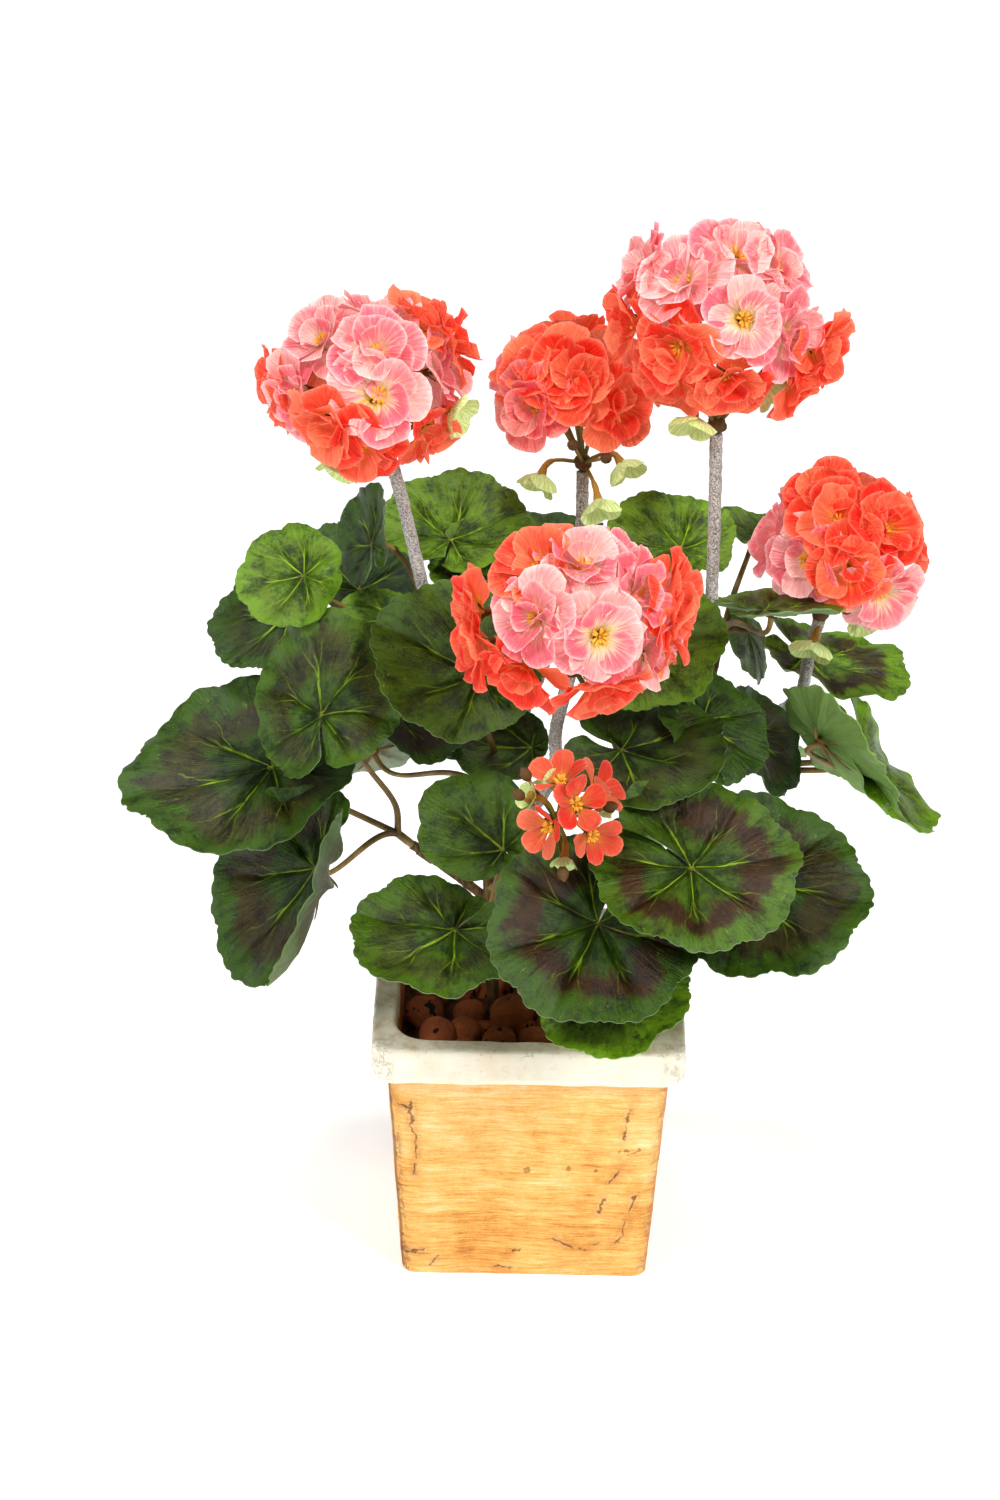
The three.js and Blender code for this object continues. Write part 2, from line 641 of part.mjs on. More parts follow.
const heads = {
  a: {
    color: 'pink',
    hub: [-60, -15, 361],
    centre: [-68, -15, 386],
    florets: [
      { round: -167, rise: 46 }, { round: 83, rise: 69 }, { round: 26, rise: 47, out: 38 },
      { round: -80, rise: 50 }, { round: 7, rise: 12 }, { round: 20, rise: 25, out: 42 },
      { round: -80, rise: 14 }, { round: -169, rise: -2 }, { round: 172, rise: -5, out: 40 },
      { round: -95, rise: -28 }, { round: -14, rise: -36 }, { round: -120, rise: -10 },
      { round: 90, rise: 20 }, { round: 140, rise: 12 }, { round: 45, rise: -5 },
      { round: -7, rise: -15, out: 41, size: bellWidth, bell: true },
      { round: -152, rise: -67, out: 39, size: bellWidth, bell: true },
    ],
  },
  b: {
    color: 'coral',
    hub: [18, 50, 331],
    centre: [14, 50, 358],
    florets: [
      { round: -105, rise: 46 }, { round: -129, rise: 11 }, { round: -56, rise: 15 },
      { round: -144, rise: 37 }, { round: -84, rise: 35 },
      { round: 90, rise: 40 }, { round: 30, rise: 15 }, { round: 150, rise: 10 },
      { round: -154, rise: -65, out: 42, size: bellWidth, bell: true },
      { round: -19, rise: -51, out: 40, size: bellWidth, bell: true },
      { round: -59, rise: -62, out: 50, size: bellWidth, bell: true },
    ],
  },
  c: {
    color: 'pink',
    hub: [70, 5, 366],
    centre: [70, 5, 408],
    florets: [
      { round: -145, rise: 46 }, { round: 10, rise: 80 }, { round: 164, rise: 32, out: 42 },
      { round: 15, rise: 41, out: 37 }, { round: -73, rise: 23 }, { round: -31, rise: 3 },
      { round: -7, rise: -10, out: 44 }, { round: 178, rise: -2, out: 40 }, { round: -128, rise: -2 },
      { round: -83, rise: -31 }, { round: -16, rise: -33, out: 42 }, { round: -137, rise: -36 },
      { round: 90, rise: 20 }, { round: 135, rise: 0 }, { round: 45, rise: 10 },
      { round: -124, rise: -63, out: 46, size: bellWidth, bell: true },
      { round: -12, rise: -50, out: 39, size: bellWidth, bell: true },
    ],
  },
  d: {
    color: 'pink',
    hub: [13, -70, 292],
    centre: [14, -75, 314],
    florets: [
      { round: 178, rise: 2, out: 44 }, { round: -174, rise: -15, out: 43 }, { round: -161, rise: 58 },
      { round: -76, rise: 73 }, { round: 22, rise: 53 }, { round: -126, rise: 22 },
      { round: -70, rise: 11 }, { round: -14, rise: 30 }, { round: 5, rise: 13, out: 43 },
      { round: -11, rise: -20, out: 37 }, { round: -145, rise: -33 }, { round: -63, rise: -40 },
      { round: -2, rise: -3, out: 42 }, { round: 90, rise: 30 }, { round: 60, rise: 0 },
    ],
  },
  e: {
    color: 'coral',
    hub: [116, 12, 282],
    centre: [125, 15, 306],
    florets: [
      { round: -147, rise: 65 }, { round: -104, rise: 49 }, { round: -54, rise: 43 },
      { round: -129, rise: 13 }, { round: -92, rise: 13 }, { round: -62, rise: -11 },
      { round: 90, rise: 30 }, { round: 20, rise: 15 }, { round: 160, rise: 10 },
      { round: -143, rise: -69, out: 46, size: bellWidth, bell: true },
      { round: -49, rise: -59, out: 33, size: bellWidth, bell: true },
    ],
  },
  f: {
    color: 'coral',
    hub: [9, -70, 225],
    centre: [14, -85, 235],
    florets: [
      { round: 177, rise: 73, out: 20 }, { round: -81, rise: 45, out: 20 },
      { round: -127, rise: 3, out: 20 }, { round: -51, rise: -15, out: 20 },
      { round: 21, rise: 38, out: 21 },
      { round: 180, rise: 23, out: 24, size: bellWidth, bell: true },
      { round: 0, rise: 15, out: 20, size: bellWidth, bell: true },
      { round: -104, rise: -63, out: 25, size: bellWidth, bell: true },
      { round: 140, rise: 45, out: 24, size: bellWidth, bell: true },
    ],
  },
};

// Every third floret at the front has both layers of petals
function makeHead({ hub, centre, florets }, stalkRoom) {
  const ball = new THREE.IcosahedronGeometry(hubRadius, 0);
  const pieces = [toSolid(ball.translate(...hub))];
  florets.forEach(({ round, rise, out = 33, size = floretWidth, bell }, i) => {
    const direction = new THREE.Vector3(
      Math.cos(round * deg) * Math.cos(rise * deg),
      Math.sin(round * deg) * Math.cos(rise * deg),
      Math.sin(rise * deg),
    );
    const base = vec(centre).addScaledVector(direction, out - (bell ? bellDepth : floretDepth));
    const both = i < frontFlorets && i % 3 === 0;
    const kinds = bell ? ['bell'] : both ? ['outer', 'inner'] : ['outer'];
    pieces.push(makeFloret(vec(hub), base, direction, size, 25 * i, kinds));
  });
  return fuse(pieces).subtract(stalkRoom);
}

// The whole plant in its pot

const plant = new THREE.Group();
const stemRoom = makeWoodyStem(touchGap);
plant.add(toMesh('pot', makePot(), finishes.clay));
plant.add(toMesh('filling', makeFilling(stemRoom), finishes.pellets));
plant.add(toMesh('woody_stem', makeWoodyStem(0), finishes.wood));
for (const [name, stem] of Object.entries(leafyStems)) {
  plant.add(toMesh(`leafy_stem_${name}`, makeLeafyStem(stem, stemRoom), finishes[stem.color]));
}
for (const [name, { radius, points }] of Object.entries(stalks)) {
  const steps = 2 * (points.length - 1);
  const stalk = tube(through(points), radius, stemSides, steps).subtract(stemRoom);
  plant.add(toMesh(`flower_stalk_${name}`, stalk, finishes.flock));
  const stalkRoom = tube(through(points), radius + touchGap, stemSides, steps);
  plant.add(toMesh(`flower_head_${name}`, makeHead(heads[name], stalkRoom), finishes[heads[name].color]));
}

export default plant;
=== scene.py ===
import random
from functools import reduce
from math import cos, exp, hypot, pi, radians, sin, sqrt

import bmesh
import bpy
from mathutils import Matrix, Vector, noise
from mathutils.geometry import interpolate_bezier


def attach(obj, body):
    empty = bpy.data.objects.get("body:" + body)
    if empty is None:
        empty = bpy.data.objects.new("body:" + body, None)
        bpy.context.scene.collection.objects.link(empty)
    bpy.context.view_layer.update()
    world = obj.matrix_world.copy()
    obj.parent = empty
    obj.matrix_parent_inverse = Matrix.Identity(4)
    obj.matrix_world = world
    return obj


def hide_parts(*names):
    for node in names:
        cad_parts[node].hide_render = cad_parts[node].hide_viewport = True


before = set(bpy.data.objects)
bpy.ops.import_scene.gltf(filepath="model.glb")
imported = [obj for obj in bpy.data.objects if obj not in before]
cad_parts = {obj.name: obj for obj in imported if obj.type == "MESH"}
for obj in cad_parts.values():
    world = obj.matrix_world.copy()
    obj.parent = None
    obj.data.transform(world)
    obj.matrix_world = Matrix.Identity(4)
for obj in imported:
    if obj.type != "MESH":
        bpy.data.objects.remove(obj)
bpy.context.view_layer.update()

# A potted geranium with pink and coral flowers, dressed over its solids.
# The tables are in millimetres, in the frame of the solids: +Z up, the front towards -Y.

mm = 0.001
up = Vector((0, 0, 1))


# Camera, floor and light

view = {
    "place": (-14.14, -1553.67, 965.25),
    "pitch": -25.549,
    "roll": 1.064,
    "lens": 100,
}

studio = {
    "floor": "#FCFCFD",
    "floorGlow": 0.66,
    "sky": "#FFFFFF",
    "skyStrength": 0.2,
    "lamps": [  # place, size, watts: two large ones in front, the right one stronger, and one overhead
        ((-800, -1000, 1400), 450, 14),
        ((800, -1000, 1300), 450, 17),
        ((-100, 250, 1700), 450, 12),
    ],
}


def linear(hexColour):
    shares = [int(hexColour[i:i + 2], 16) / 255 for i in (1, 3, 5)]
    return tuple(c / 12.92 if c <= 0.04045 else ((c + 0.055) / 1.055) ** 2.4 for c in shares) + (1.0,)


def setCamera():
    lens = bpy.data.cameras.new("camera")
    lens.lens = view["lens"]
    lens.sensor_width = 36
    lens.clip_start = 0.01
    camera = bpy.data.objects.new("camera", lens)
    bpy.context.collection.objects.link(camera)
    pitch = Matrix.Rotation(radians(90 + view["pitch"]), 4, "X")
    turn = pitch @ Matrix.Rotation(radians(view["roll"]), 4, "Z")
    camera.matrix_world = Matrix.Translation(Vector(view["place"]) * mm) @ turn
    bpy.context.scene.camera = camera


def setLamps():
    target = Vector((0, 0, 0.2))
    for number, (place, size, watts) in enumerate(studio["lamps"]):
        light = bpy.data.lights.new(f"lamp{number}", "AREA")
        light.shape = "DISK"
        light.size = size * mm
        light.energy = watts
        lamp = bpy.data.objects.new(f"lamp{number}", light)
        lamp.location = Vector(place) * mm
        lamp.rotation_euler = (lamp.location - target).to_track_quat("Z", "Y").to_euler()
        bpy.context.collection.objects.link(lamp)
    world = bpy.data.worlds.new("studio")
    world.use_nodes = True
    background = world.node_tree.nodes["Background"]
    background.inputs["Color"].default_value = linear(studio["sky"])
    background.inputs["Strength"].default_value = studio["skyStrength"]
    bpy.context.scene.world = world
    bpy.context.scene.view_settings.view_transform = "Standard"


setCamera()
setLamps()
print("camera and light")


# Finishes

class Signal:
    # One socket of a finish. Sums on it add Math nodes.

    def __init__(self, finish, socket):
        self.finish = finish
        self.socket = socket

    def maths(self, operation, *values):
        return self.finish.node("Math", {"operation": operation}, dict(enumerate(values)))

    def __add__(self, other):
        return self.maths("ADD", self, other)

    __radd__ = __add__

    def __sub__(self, other):
        return self.maths("SUBTRACT", self, other)

    def __rsub__(self, other):
        return self.maths("SUBTRACT", other, self)

    def __mul__(self, other):
        return self.maths("MULTIPLY", self, other)

    __rmul__ = __mul__

    def __pow__(self, other):
        return self.maths("POWER", self, other)

    def __gt__(self, other):
        return self.maths("GREATER_THAN", self, other)

    def __abs__(self):
        return self.maths("ABSOLUTE", self)

    def round(self):
        return self.maths("ROUND", self)

    def least(self, other):
        return self.maths("MINIMUM", self, other)

    def most(self, other):
        return self.maths("MAXIMUM", self, other)


class Finish:
    # A material on one Principled shader. The fixed values go on the shader's own sockets.

    def __init__(self, name, fixed):
        self.material = bpy.data.materials.new(name)
        self.material.use_nodes = True
        self.tree = self.material.node_tree
        self.shader = self.tree.nodes["Principled BSDF"]
        for socket, value in fixed.items():
            self.shader.inputs[socket].default_value = value

    def node(self, kind, settings={}, values={}, output=0):
        made = self.tree.nodes.new("ShaderNode" + kind)
        for key, value in settings.items():
            if key == "stops":
                self.setStops(made.color_ramp, value)
            else:
                setattr(made, key, value)
        for key, value in values.items():
            self.feed(made.inputs[key], value)
        return Signal(self, made.outputs[output])

    def setStops(self, ramp, stops):
        while len(ramp.elements) < len(stops):
            ramp.elements.new(0.5)
        for element, (place, colour) in zip(ramp.elements, stops):
            element.position = place
            element.color = linear(colour)

    def feed(self, socket, value):
        if isinstance(value, Signal):
            self.tree.links.new(value.socket, socket)
        elif isinstance(value, str):
            socket.default_value = linear(value)
        else:
            socket.default_value = value

    def place(self):
        return self.node("TexCoord", output="Object")

    def axis(self, vector, letter):
        return self.node("SeparateXYZ", {}, {0: vector}, letter)

    def vector(self, x, y, z):
        return self.node("CombineXYZ", {}, {0: x, 1: y, 2: z})

    def stretched(self, vector, shares):
        return self.node("VectorMath", {"operation": "MULTIPLY"}, {0: vector, 1: shares})

    def cloud(self, vector, scale, detail=3.0, roughness=0.55):
        values = {"Vector": vector, "Scale": scale, "Detail": detail, "Roughness": roughness}
        return self.node("TexNoise", {}, values, "Fac")

    def patches(self, vector, low, high, scale, detail=3.0, roughness=0.55):
        return self.ease(self.cloud(vector, scale, detail, roughness), low, high)

    def mark(self, name):
        return self.node("Attribute", {"attribute_name": name}, output="Fac")

    def ease(self, value, low, high):
        values = {0: value, 1: low, 2: high}
        return self.node("MapRange", {"interpolation_type": "SMOOTHSTEP"}, values)

    def ramp(self, value, stops):
        return self.node("ValToRGB", {"stops": stops}, {0: value})

    def mix(self, share, a, b, how="MIX"):
        return self.node("Mix", {"data_type": "RGBA", "blend_type": how}, {0: share, 6: a, 7: b}, 2)

    def relief(self, height, depth):
        # depth in metres for a height of 1
        values = {"Height": height, "Distance": depth, "Strength": 1.0}
        self.feed(self.shader.inputs["Normal"], self.node("Bump", {}, values))

    def paint(self, colour, roughness=None):
        self.feed(self.shader.inputs["Base Color"], colour)
        if roughness is not None:
            self.feed(self.shader.inputs["Roughness"], roughness)


def floorFinish():
    finish = Finish("floor", {"Roughness": 0.6, "Emission Strength": studio["floorGlow"]})
    place = finish.place()
    finish.paint(finish.mix(finish.cloud(place, 3.0), studio["floor"], "#FFFFFF"))
    # It glows more towards the back, to stay white there
    back = finish.ease(finish.axis(place, "Y"), 0.2, 2.2)
    finish.feed(finish.shader.inputs["Emission Color"], finish.mix(back, "#D2D2D4", "#FFFFFF"))
    return finish


# Meshes

def newMesh(*marks):
    mesh = bmesh.new()
    for mark in marks:
        mesh.verts.layers.float.new(mark)
    return mesh


def bentGrid(mesh, columns, rows, place, finish=0):
    # A grid whose corners go where place(column, row) says, in mm, with the marks that it gives.
    # Corners that meet are merged, so a seam or a pole closes.
    corners = bmesh.ops.create_grid(mesh, x_segments=columns, y_segments=rows, size=0.5)["verts"]
    layers = mesh.verts.layers.float
    for corner in corners:
        column = round((corner.co.x + 0.5) * columns)
        row = round((corner.co.y + 0.5) * rows)
        point, marks = place(column, row)
        corner.co = point * mm
        for mark, value in marks.items():
            corner[layers[mark]] = value
    for face in {face for corner in corners for face in corner.link_faces}:
        face.material_index = finish
        face.smooth = True
    bmesh.ops.remove_doubles(mesh, verts=corners, dist=0.002 * mm)


def runThrough(points, steps):
    # The points of one smooth curve through the given ones, as the solids have it
    knots = [Vector(p) for p in points]
    knots = [2 * knots[0] - knots[1], *knots, 2 * knots[-1] - knots[-2]]
    run = []
    for i in range(1, len(knots) - 2):
        before, start, end, after = knots[i - 1:i + 3]
        a, b, c = [sqrt((q - p).length) for p, q in ((before, start), (start, end), (end, after))]
        leave = ((start - before) / a - (end - before) / (a + b) + (end - start) / b) * b
        arrive = ((end - start) / b - (after - start) / (b + c) + (after - end) / c) * b
        part = interpolate_bezier(start, start + leave / 3, end - arrive / 3, end, steps + 1)
        run += part if not run else part[1:]
    return run


def turnsAlong(run):
    # Two directions square to the run at each of its points, which don't spin on the way
    turns = []
    heading = (run[1] - run[0]).normalized()
    side = heading.orthogonal().normalized()
    for i in range(len(run)):
        ahead = (run[min(i + 1, len(run) - 1)] - run[max(i - 1, 0)]).normalized()
        side.rotate(heading.rotation_difference(ahead))
        heading = ahead
        turns.append((side.copy(), heading.cross(side)))
    return turns


def tube(mesh, run, radius, sides=8, finish=0, marks=lambda share: {}, rough=0.0):
    # A round skin along a run, closed at both ends. radius(share) is in mm; rough is a random share of it.
    turns = turnsAlong(run)
    last = len(run) - 1

    def place(column, row):
        i = min(max(row - 1, 0), last)
        share = i / last
        angle = 2 * pi * (column % sides) / sides
        side, other = turns[i]
        out = 0 if row in (0, last + 2) else radius(share)
        direction = side * cos(angle) + other * sin(angle)
        if rough:
            out *= 1 + rough * noise.noise((run[i] + direction * 3) * 0.7)
        return run[i] + direction * out, marks(share)

    bentGrid(mesh, sides, last + 2, place, finish)


def finishPiece(mesh, name, node, slot, finishes, sharp=50):
    bmesh.ops.recalc_face_normals(mesh, faces=mesh.faces)
    for edge in mesh.edges:
        edge.smooth = abs(edge.calc_face_angle(0)) < radians(sharp)
    data = bpy.data.meshes.new(name)
    mesh.to_mesh(data)
    mesh.free()
    for finish in finishes:
        data.materials.append(finish.material)
    piece = bpy.data.objects.new(name, data)
    bpy.context.collection.objects.link(piece)
    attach(piece, "root")
    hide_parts(node)
    print(f"{name}: {sum(len(face.vertices) - 2 for face in data.polygons)} triangles")


# Pot: a square box of glazed clay with a thick cream rim

pot = {
    "rimWidth": 130,
    "height": 116.6,
    "rimHeight": 17.8,
    "openingWidth": 110.5,
    "bodyTopWidth": 117.2,
    "bodyBottomWidth": 104.2,
    "floor": 10,
    "floorWidth": 86.2,
    "edgeRound": 2,
    "lowerRimRound": 4.5,
    "footCorner": 6,  # how round the corners are, seen from above
    "shoulderCorner": 7,
    "rimCorner": 9,
    "openingCorner": 16,
    "floorCorner": 12,
    "columns": 192,
    "unevenness": 0.5,
    "chips": [  # x, y, z and size
        (-64, -61, 112, 2.2), (-65, -60, 103, 2.5), (-65, -30, 115, 1.8), (61, -64, 99.5, 2),
        (20, -65, 115.5, 1.2),
    ],
    "ochre": [(0.1, "#BC762C"), (0.34, "#E5A04A"), (0.5, "#F7B863"), (0.66, "#FFCA7C"), (0.9, "#FFE4AC")],
    "cream": "#FFF8E4",
    "rimTop": "#FFF4E0",
    "terracotta": "#C4682C",
    "crack": "#8A4C1C",
    # the brown of the painted corner shade and its dirt specks
    "shadeAndGrime": "#966440",
    # Cracks in the front, as runs of x and z, and pits as x, z and radius
    "cracks": [
        [(-57.5, 90), (-53, 86), (-48, 84)],
        [(-48.4, 87), (-48.2, 76), (-46.3, 71), (-45.9, 62), (-46.8, 52)],
        [(44, 90), (41.6, 79), (40.4, 70.5)], [(48, 66), (40.5, 61.6), (38.6, 55), (35.5, 49)],
        [(46, 42), (43.5, 35), (42.6, 29), (41, 20.5), (37, 17)], [(33, 40), (31, 33)],
        [(12.5, 18.9), (19, 16.2), (25.2, 13.2), (31.4, 17.5)], [(-8.3, 10.7), (-1.6, 13.6)],
        [(-50.5, 10.7), (-42.1, 12.8)], [(-40, 5), (-36, 9.5)], [(-12, 5), (-3, 3.5)],
    ],
    "pits": [
        (0.2, 54.5, 1.2), (17.6, 55.1, 1), (28.9, 54.4, 0.8), (39, 64.6, 0.6), (42, 64.8, 0.6),
        (47, 66.3, 0.6),
    ],
}


def clayFinish():
    finish = Finish("clay", {"Specular IOR Level": 0.35})
    place = finish.place()
    x, y, z = [finish.axis(place, letter) * 1000 for letter in "XYZ"]
    isFront = abs(y) > abs(x)
    across = x * isFront + y * (1 - isFront)

    # A honey wash, brushed on level
    sag = finish.vector(0.0, 0.0, (finish.cloud(place, 18, 2) - 0.5) * 0.008)
    bent = finish.node("VectorMath", {"operation": "ADD"}, {0: place, 1: sag})
    broad = finish.cloud(finish.stretched(bent, (10, 10, 50)), 1.0, 3)
    strokes = finish.cloud(finish.stretched(bent, (30, 30, 400)), 1.0, 6, 0.75)
    hairs = finish.cloud(finish.stretched(bent, (90, 90, 1500)), 1.0, 5, 0.75)
    blotches = finish.cloud(place, 60, 5, 0.65)
    grain = finish.cloud(place, 1400, 2)
    wash = (broad - 0.5) * 0.55 + (strokes - 0.5) * 0.9 + (hairs - 0.5) * 1.2 + (blotches - 0.5) * 0.8
    body = finish.ramp(wash + (grain - 0.5) * 0.3 + z * 0.0016 + 0.42, pot["ochre"])

    # Cracks and pits, with dirt in them
    crossed = across + (finish.cloud(place, 210, 6, 0.75) - 0.5) * 7
    risen = z + (finish.cloud(place, 250, 6, 0.75) - 0.5) * 7

    def far(offX, offZ):
        return (offX * offX + offZ * offZ) ** 0.5

    gaps = []
    for run in pot["cracks"]:
        for (ax, az), (bx, bz) in zip(run, run[1:]):
            dx, dz = bx - ax, bz - az
            square = dx * dx + dz * dz
            along = crossed * (dx / square) + risen * (dz / square) - (ax * dx + az * dz) / square
            along = along.most(0.0).least(1.0)
            gaps.append(far(crossed - ax - along * dx, risen - az - along * dz))
    nearest = reduce(Signal.least, gaps)
    hollow = reduce(Signal.least, [far(crossed - px, risen - pz) - radius for px, pz, radius in pot["pits"]])
    isBody = finish.ease(z, 98, 97)
    thick = finish.patches(place, 0.4, 0.64, 110, 4, 0.65)
    crack = finish.ease(nearest, 0.15 + 0.5 * thick, 0.0) * finish.ease(thick, 0.0, 0.3) * isBody
    lip = finish.ease(nearest, 2.2, 0.8) * (1 - finish.ease(nearest, 0.8, 0.3)) * isBody * thick
    pit = finish.ease(hollow, 0.3, -0.5) * isBody
    stain = finish.ease(nearest, 4, 0.6) * 0.45 * isBody * finish.ease(blotches, 0.6, 0.4)
    body = finish.mix(stain, body, "#C07A30")
    body = finish.mix(lip * 0.25, body, "#FFE3AE")
    body = finish.mix(pit * 0.6, body, "#B06C2A")

    # Painted shade with dirt specks darkens the corners, most at the left front where the pot is in shade,
    # and it is darker towards the foot
    half = 52.1 + z * 0.067
    cornerNear = finish.ease(abs(x).least(abs(y)), half - 6, half - 1.5)
    specks = finish.patches(place, 0.5, 0.6, 240, 5, 0.75)
    leftFront = finish.ease(x, 0, -30)
    shadeAndDirt = (cornerNear * (0.2 + 0.6 * leftFront) + finish.ease(z, 12, 2) * 0.25) * specks
    body = finish.mix(shadeAndDirt, body, pot["shadeAndGrime"])
    seam = finish.ease(abs(abs(x) - half + 1.2 + (blotches - 0.5) * 3), 0.9, 0.2)
    seam = seam * leftFront * finish.ease(y, -40, -46)
    body = finish.mix(seam * 0.7, body, "#7E4C2A")
    redEdge = finish.ease(x, half - 2.2, half - 0.2) * finish.ease(y, -30, -48)
    body = finish.mix(redEdge * 0.7, body, "#C4683C")

    # The rim is cream, beige and dusty on its top, and orange inside
    soft = finish.cloud(place, 55, 4)
    cream = finish.mix(finish.ease(soft, 0.4, 0.75) * 0.5, pot["cream"], "#F0D8AE")
    dusty = finish.mix(finish.patches(place, 0.4, 0.75, 140, 5, 0.65), pot["rimTop"], "#DCC6A0")
    rim = finish.mix(finish.ease(z, 115, 116.2), cream, dusty)
    worn = finish.ease(z, 113.5, 115) * finish.ease(z, 116.6, 115.6)
    chipped = finish.patches(place, 0.6, 0.64, 210, 4, 0.7) * (0.25 + 0.75 * worn)
    rimDots = (chipped * 0.6).most(finish.patches(place, 0.72, 0.76, 330) * 0.5)
    rimDots = rimDots.most(finish.ease(x, -63, -64.6) * finish.patches(place, 0.54, 0.6, 150, 4))
    rim = finish.mix(rimDots * 0.5, rim, "#B68A5C")
    edge = 98.9 + (finish.cloud(place, 60, 2) - 0.5) * 1.2
    colour = finish.mix(finish.ease(z, edge, edge + 0.4), body, rim)
    innerHalf = 45.3 + (z - 10) * 0.116
    inside = finish.ease(abs(x).most(abs(y)), innerHalf + 0.8, innerHalf) * finish.ease(z, 8, 9.5)
    inner = finish.mix(finish.cloud(place, 90, 4), pot["terracotta"], "#DC8440")
    inner = finish.mix(finish.ease(z + (blotches - 0.5) * 14, 107, 112), inner, dusty)
    colour = finish.mix(inside, colour, inner)
    colour = finish.mix(crack * 0.7, colour, pot["crack"])
    finish.paint(colour, 0.55 + 0.3 * soft)
    height = strokes * 0.5 + hairs * 0.3 + grain * 0.14 + blotches * 0.7 + lip * 0.4 - crack * 0.8 - pit
    finish.relief(height - rimDots * 0.8 + specks * cornerNear * 0.6, 0.0007)
    return finish


def squarePoint(width, corner, z, column, columns):
    # A point of a level square with round corners. A third of the columns go round the corners.
    quarter, step = divmod(column % columns, columns // 4)
    arc = columns // 12
    half = width / 2 - corner
    turn = quarter * pi / 2

    def onArc(angle, turned):
        centre = Vector((half, half, 0))
        point = centre + Vector((corner * cos(angle), corner * sin(angle), 0))
        return Matrix.Rotation(turned, 3, "Z") @ point

    if step <= arc:
        point = onArc(step / arc * pi / 2, turn)
    else:
        share = (step - arc) / (columns // 4 - arc)
        point = onArc(pi / 2, turn).lerp(onArc(0, turn + pi / 2), share)
    point.z = z
    return point


def makePot():
    mesh = newMesh()
    bodyTop = pot["height"] - pot["rimHeight"]
    top = pot["height"]
    bend = pot["edgeRound"]

    def rounding(width, corner, z, outward, upward, size=bend, steps=4):
        # Rings round an edge, from the wall to the level side
        rings = []
        for i in range(steps + 1):
            a = i / steps * pi / 2
            rings.append((width - outward * 2 * size * (1 - cos(a)), corner, z + upward * size * sin(a)))
        return rings

    def wall(lower, higher, steps):
        return [tuple(a + (b - a) * i / steps for a, b in zip(lower, higher)) for i in range(1, steps)]

    # Rings of width, corner and height: up the outside, over the rim and down to the floor inside
    low = pot["lowerRimRound"]
    foot, neck, rim = pot["footCorner"], pot["shoulderCorner"], pot["rimCorner"]
    opening, inner = pot["openingCorner"], pot["floorCorner"]
    outline = [(0, 0, 0), (50, foot, 0)]
    outline += rounding(pot["bodyBottomWidth"], foot, bend, 1, -1)[::-1]
    shoulder = (pot["bodyTopWidth"], neck, bodyTop - 0.2)
    outline += wall(outline[-1], shoulder, 40) + [shoulder, (pot["bodyTopWidth"] + 1, neck, bodyTop)]
    outline += rounding(pot["rimWidth"], rim, bodyTop + low, 1, -1, low, 6)[::-1]
    outline += wall(outline[-1], (pot["rimWidth"], rim, top - bend), 8)
    outline += rounding(pot["rimWidth"], rim, top - bend, 1, 1)
    outline += wall(outline[-1], (pot["openingWidth"] + 2 * bend, opening, top), 4)
    outline += rounding(pot["openingWidth"], opening, top - bend, -1, 1)[::-1]
    outline += wall(outline[-1], (pot["floorWidth"], inner, pot["floor"]), 14)
    outline += [(pot["floorWidth"], inner, pot["floor"]), (40, inner, pot["floor"]), (0, 0, pot["floor"])]
    columns = pot["columns"]

    def place(column, row):
        width, corner, z = outline[row]
        point = squarePoint(width, corner, z, column, columns)
        if width and z:
            sway = noise.noise(point * 0.035) * pot["unevenness"] + noise.noise(point * 0.12) * 0.25
            nearCorner = max(0, min(abs(point.x), abs(point.y)) / (width / 2) - 0.8) * 5
            sway += 0.5 * nearCorner * noise.noise(point * 0.3)
            outward = Vector((point.x, point.y, 0)).normalized()
            point -= outward * abs(sway)
            if z > top - bend:
                point.z += 0.5 * noise.noise(point * 0.09) - 0.25
            if bodyTop - 1 < z < bodyTop + 5:
                point.z += noise.noise(point * 0.06) * 0.9
            for cx, cy, cz, size in pot["chips"]:
                gap = (point - Vector((cx, cy, cz))).length
                point -= outward * size * 0.6 * exp(-(gap / size) ** 2)
        return point, {}

    bentGrid(mesh, columns, len(outline) - 1, place)
    finishPiece(mesh, "clayPot", "pot", "clay_pot", [clayFinish()], 60)


makePot()


# Filling: clay pellets on a bed painted dark as the shade deep between them

filling = {
    "bedTop": 99,
    "bedBottom": 10.3,
    "bottomWidth": 85.8,
    "topWidth": 106.1,
    "radius": 6.9,
    "spacing": 18.5,
    "stemFoot": (-14, 2),
    "stemRoom": 9.6,
    "reach": 45,
    "smallRadius": 6.2,
    "smallDrop": 3.2,
    "bedCorner": 14.5,
    "columns": 72,
    "shown": [  # x, y, height and radius of those that show at the front left
        (-44, -10, 103, 8.5), (-38, -27, 101, 9), (-27, -22, 101, 7), (-41, 5, 103, 7),
        (-25, -7, 102, 7.5), (-7, -10, 103, 9.5), (-12, -28, 100, 7.5), (3, -27, 100, 7.5),
    ],
    "clay": [(0.25, "#5E2E1C"), (0.5, "#8E4A2A"), (0.75, "#B4683A")],
    # hollow is the dark of the pores in the pellets and of the painted shade on the bed
    "hollow": "#1E100A",
}


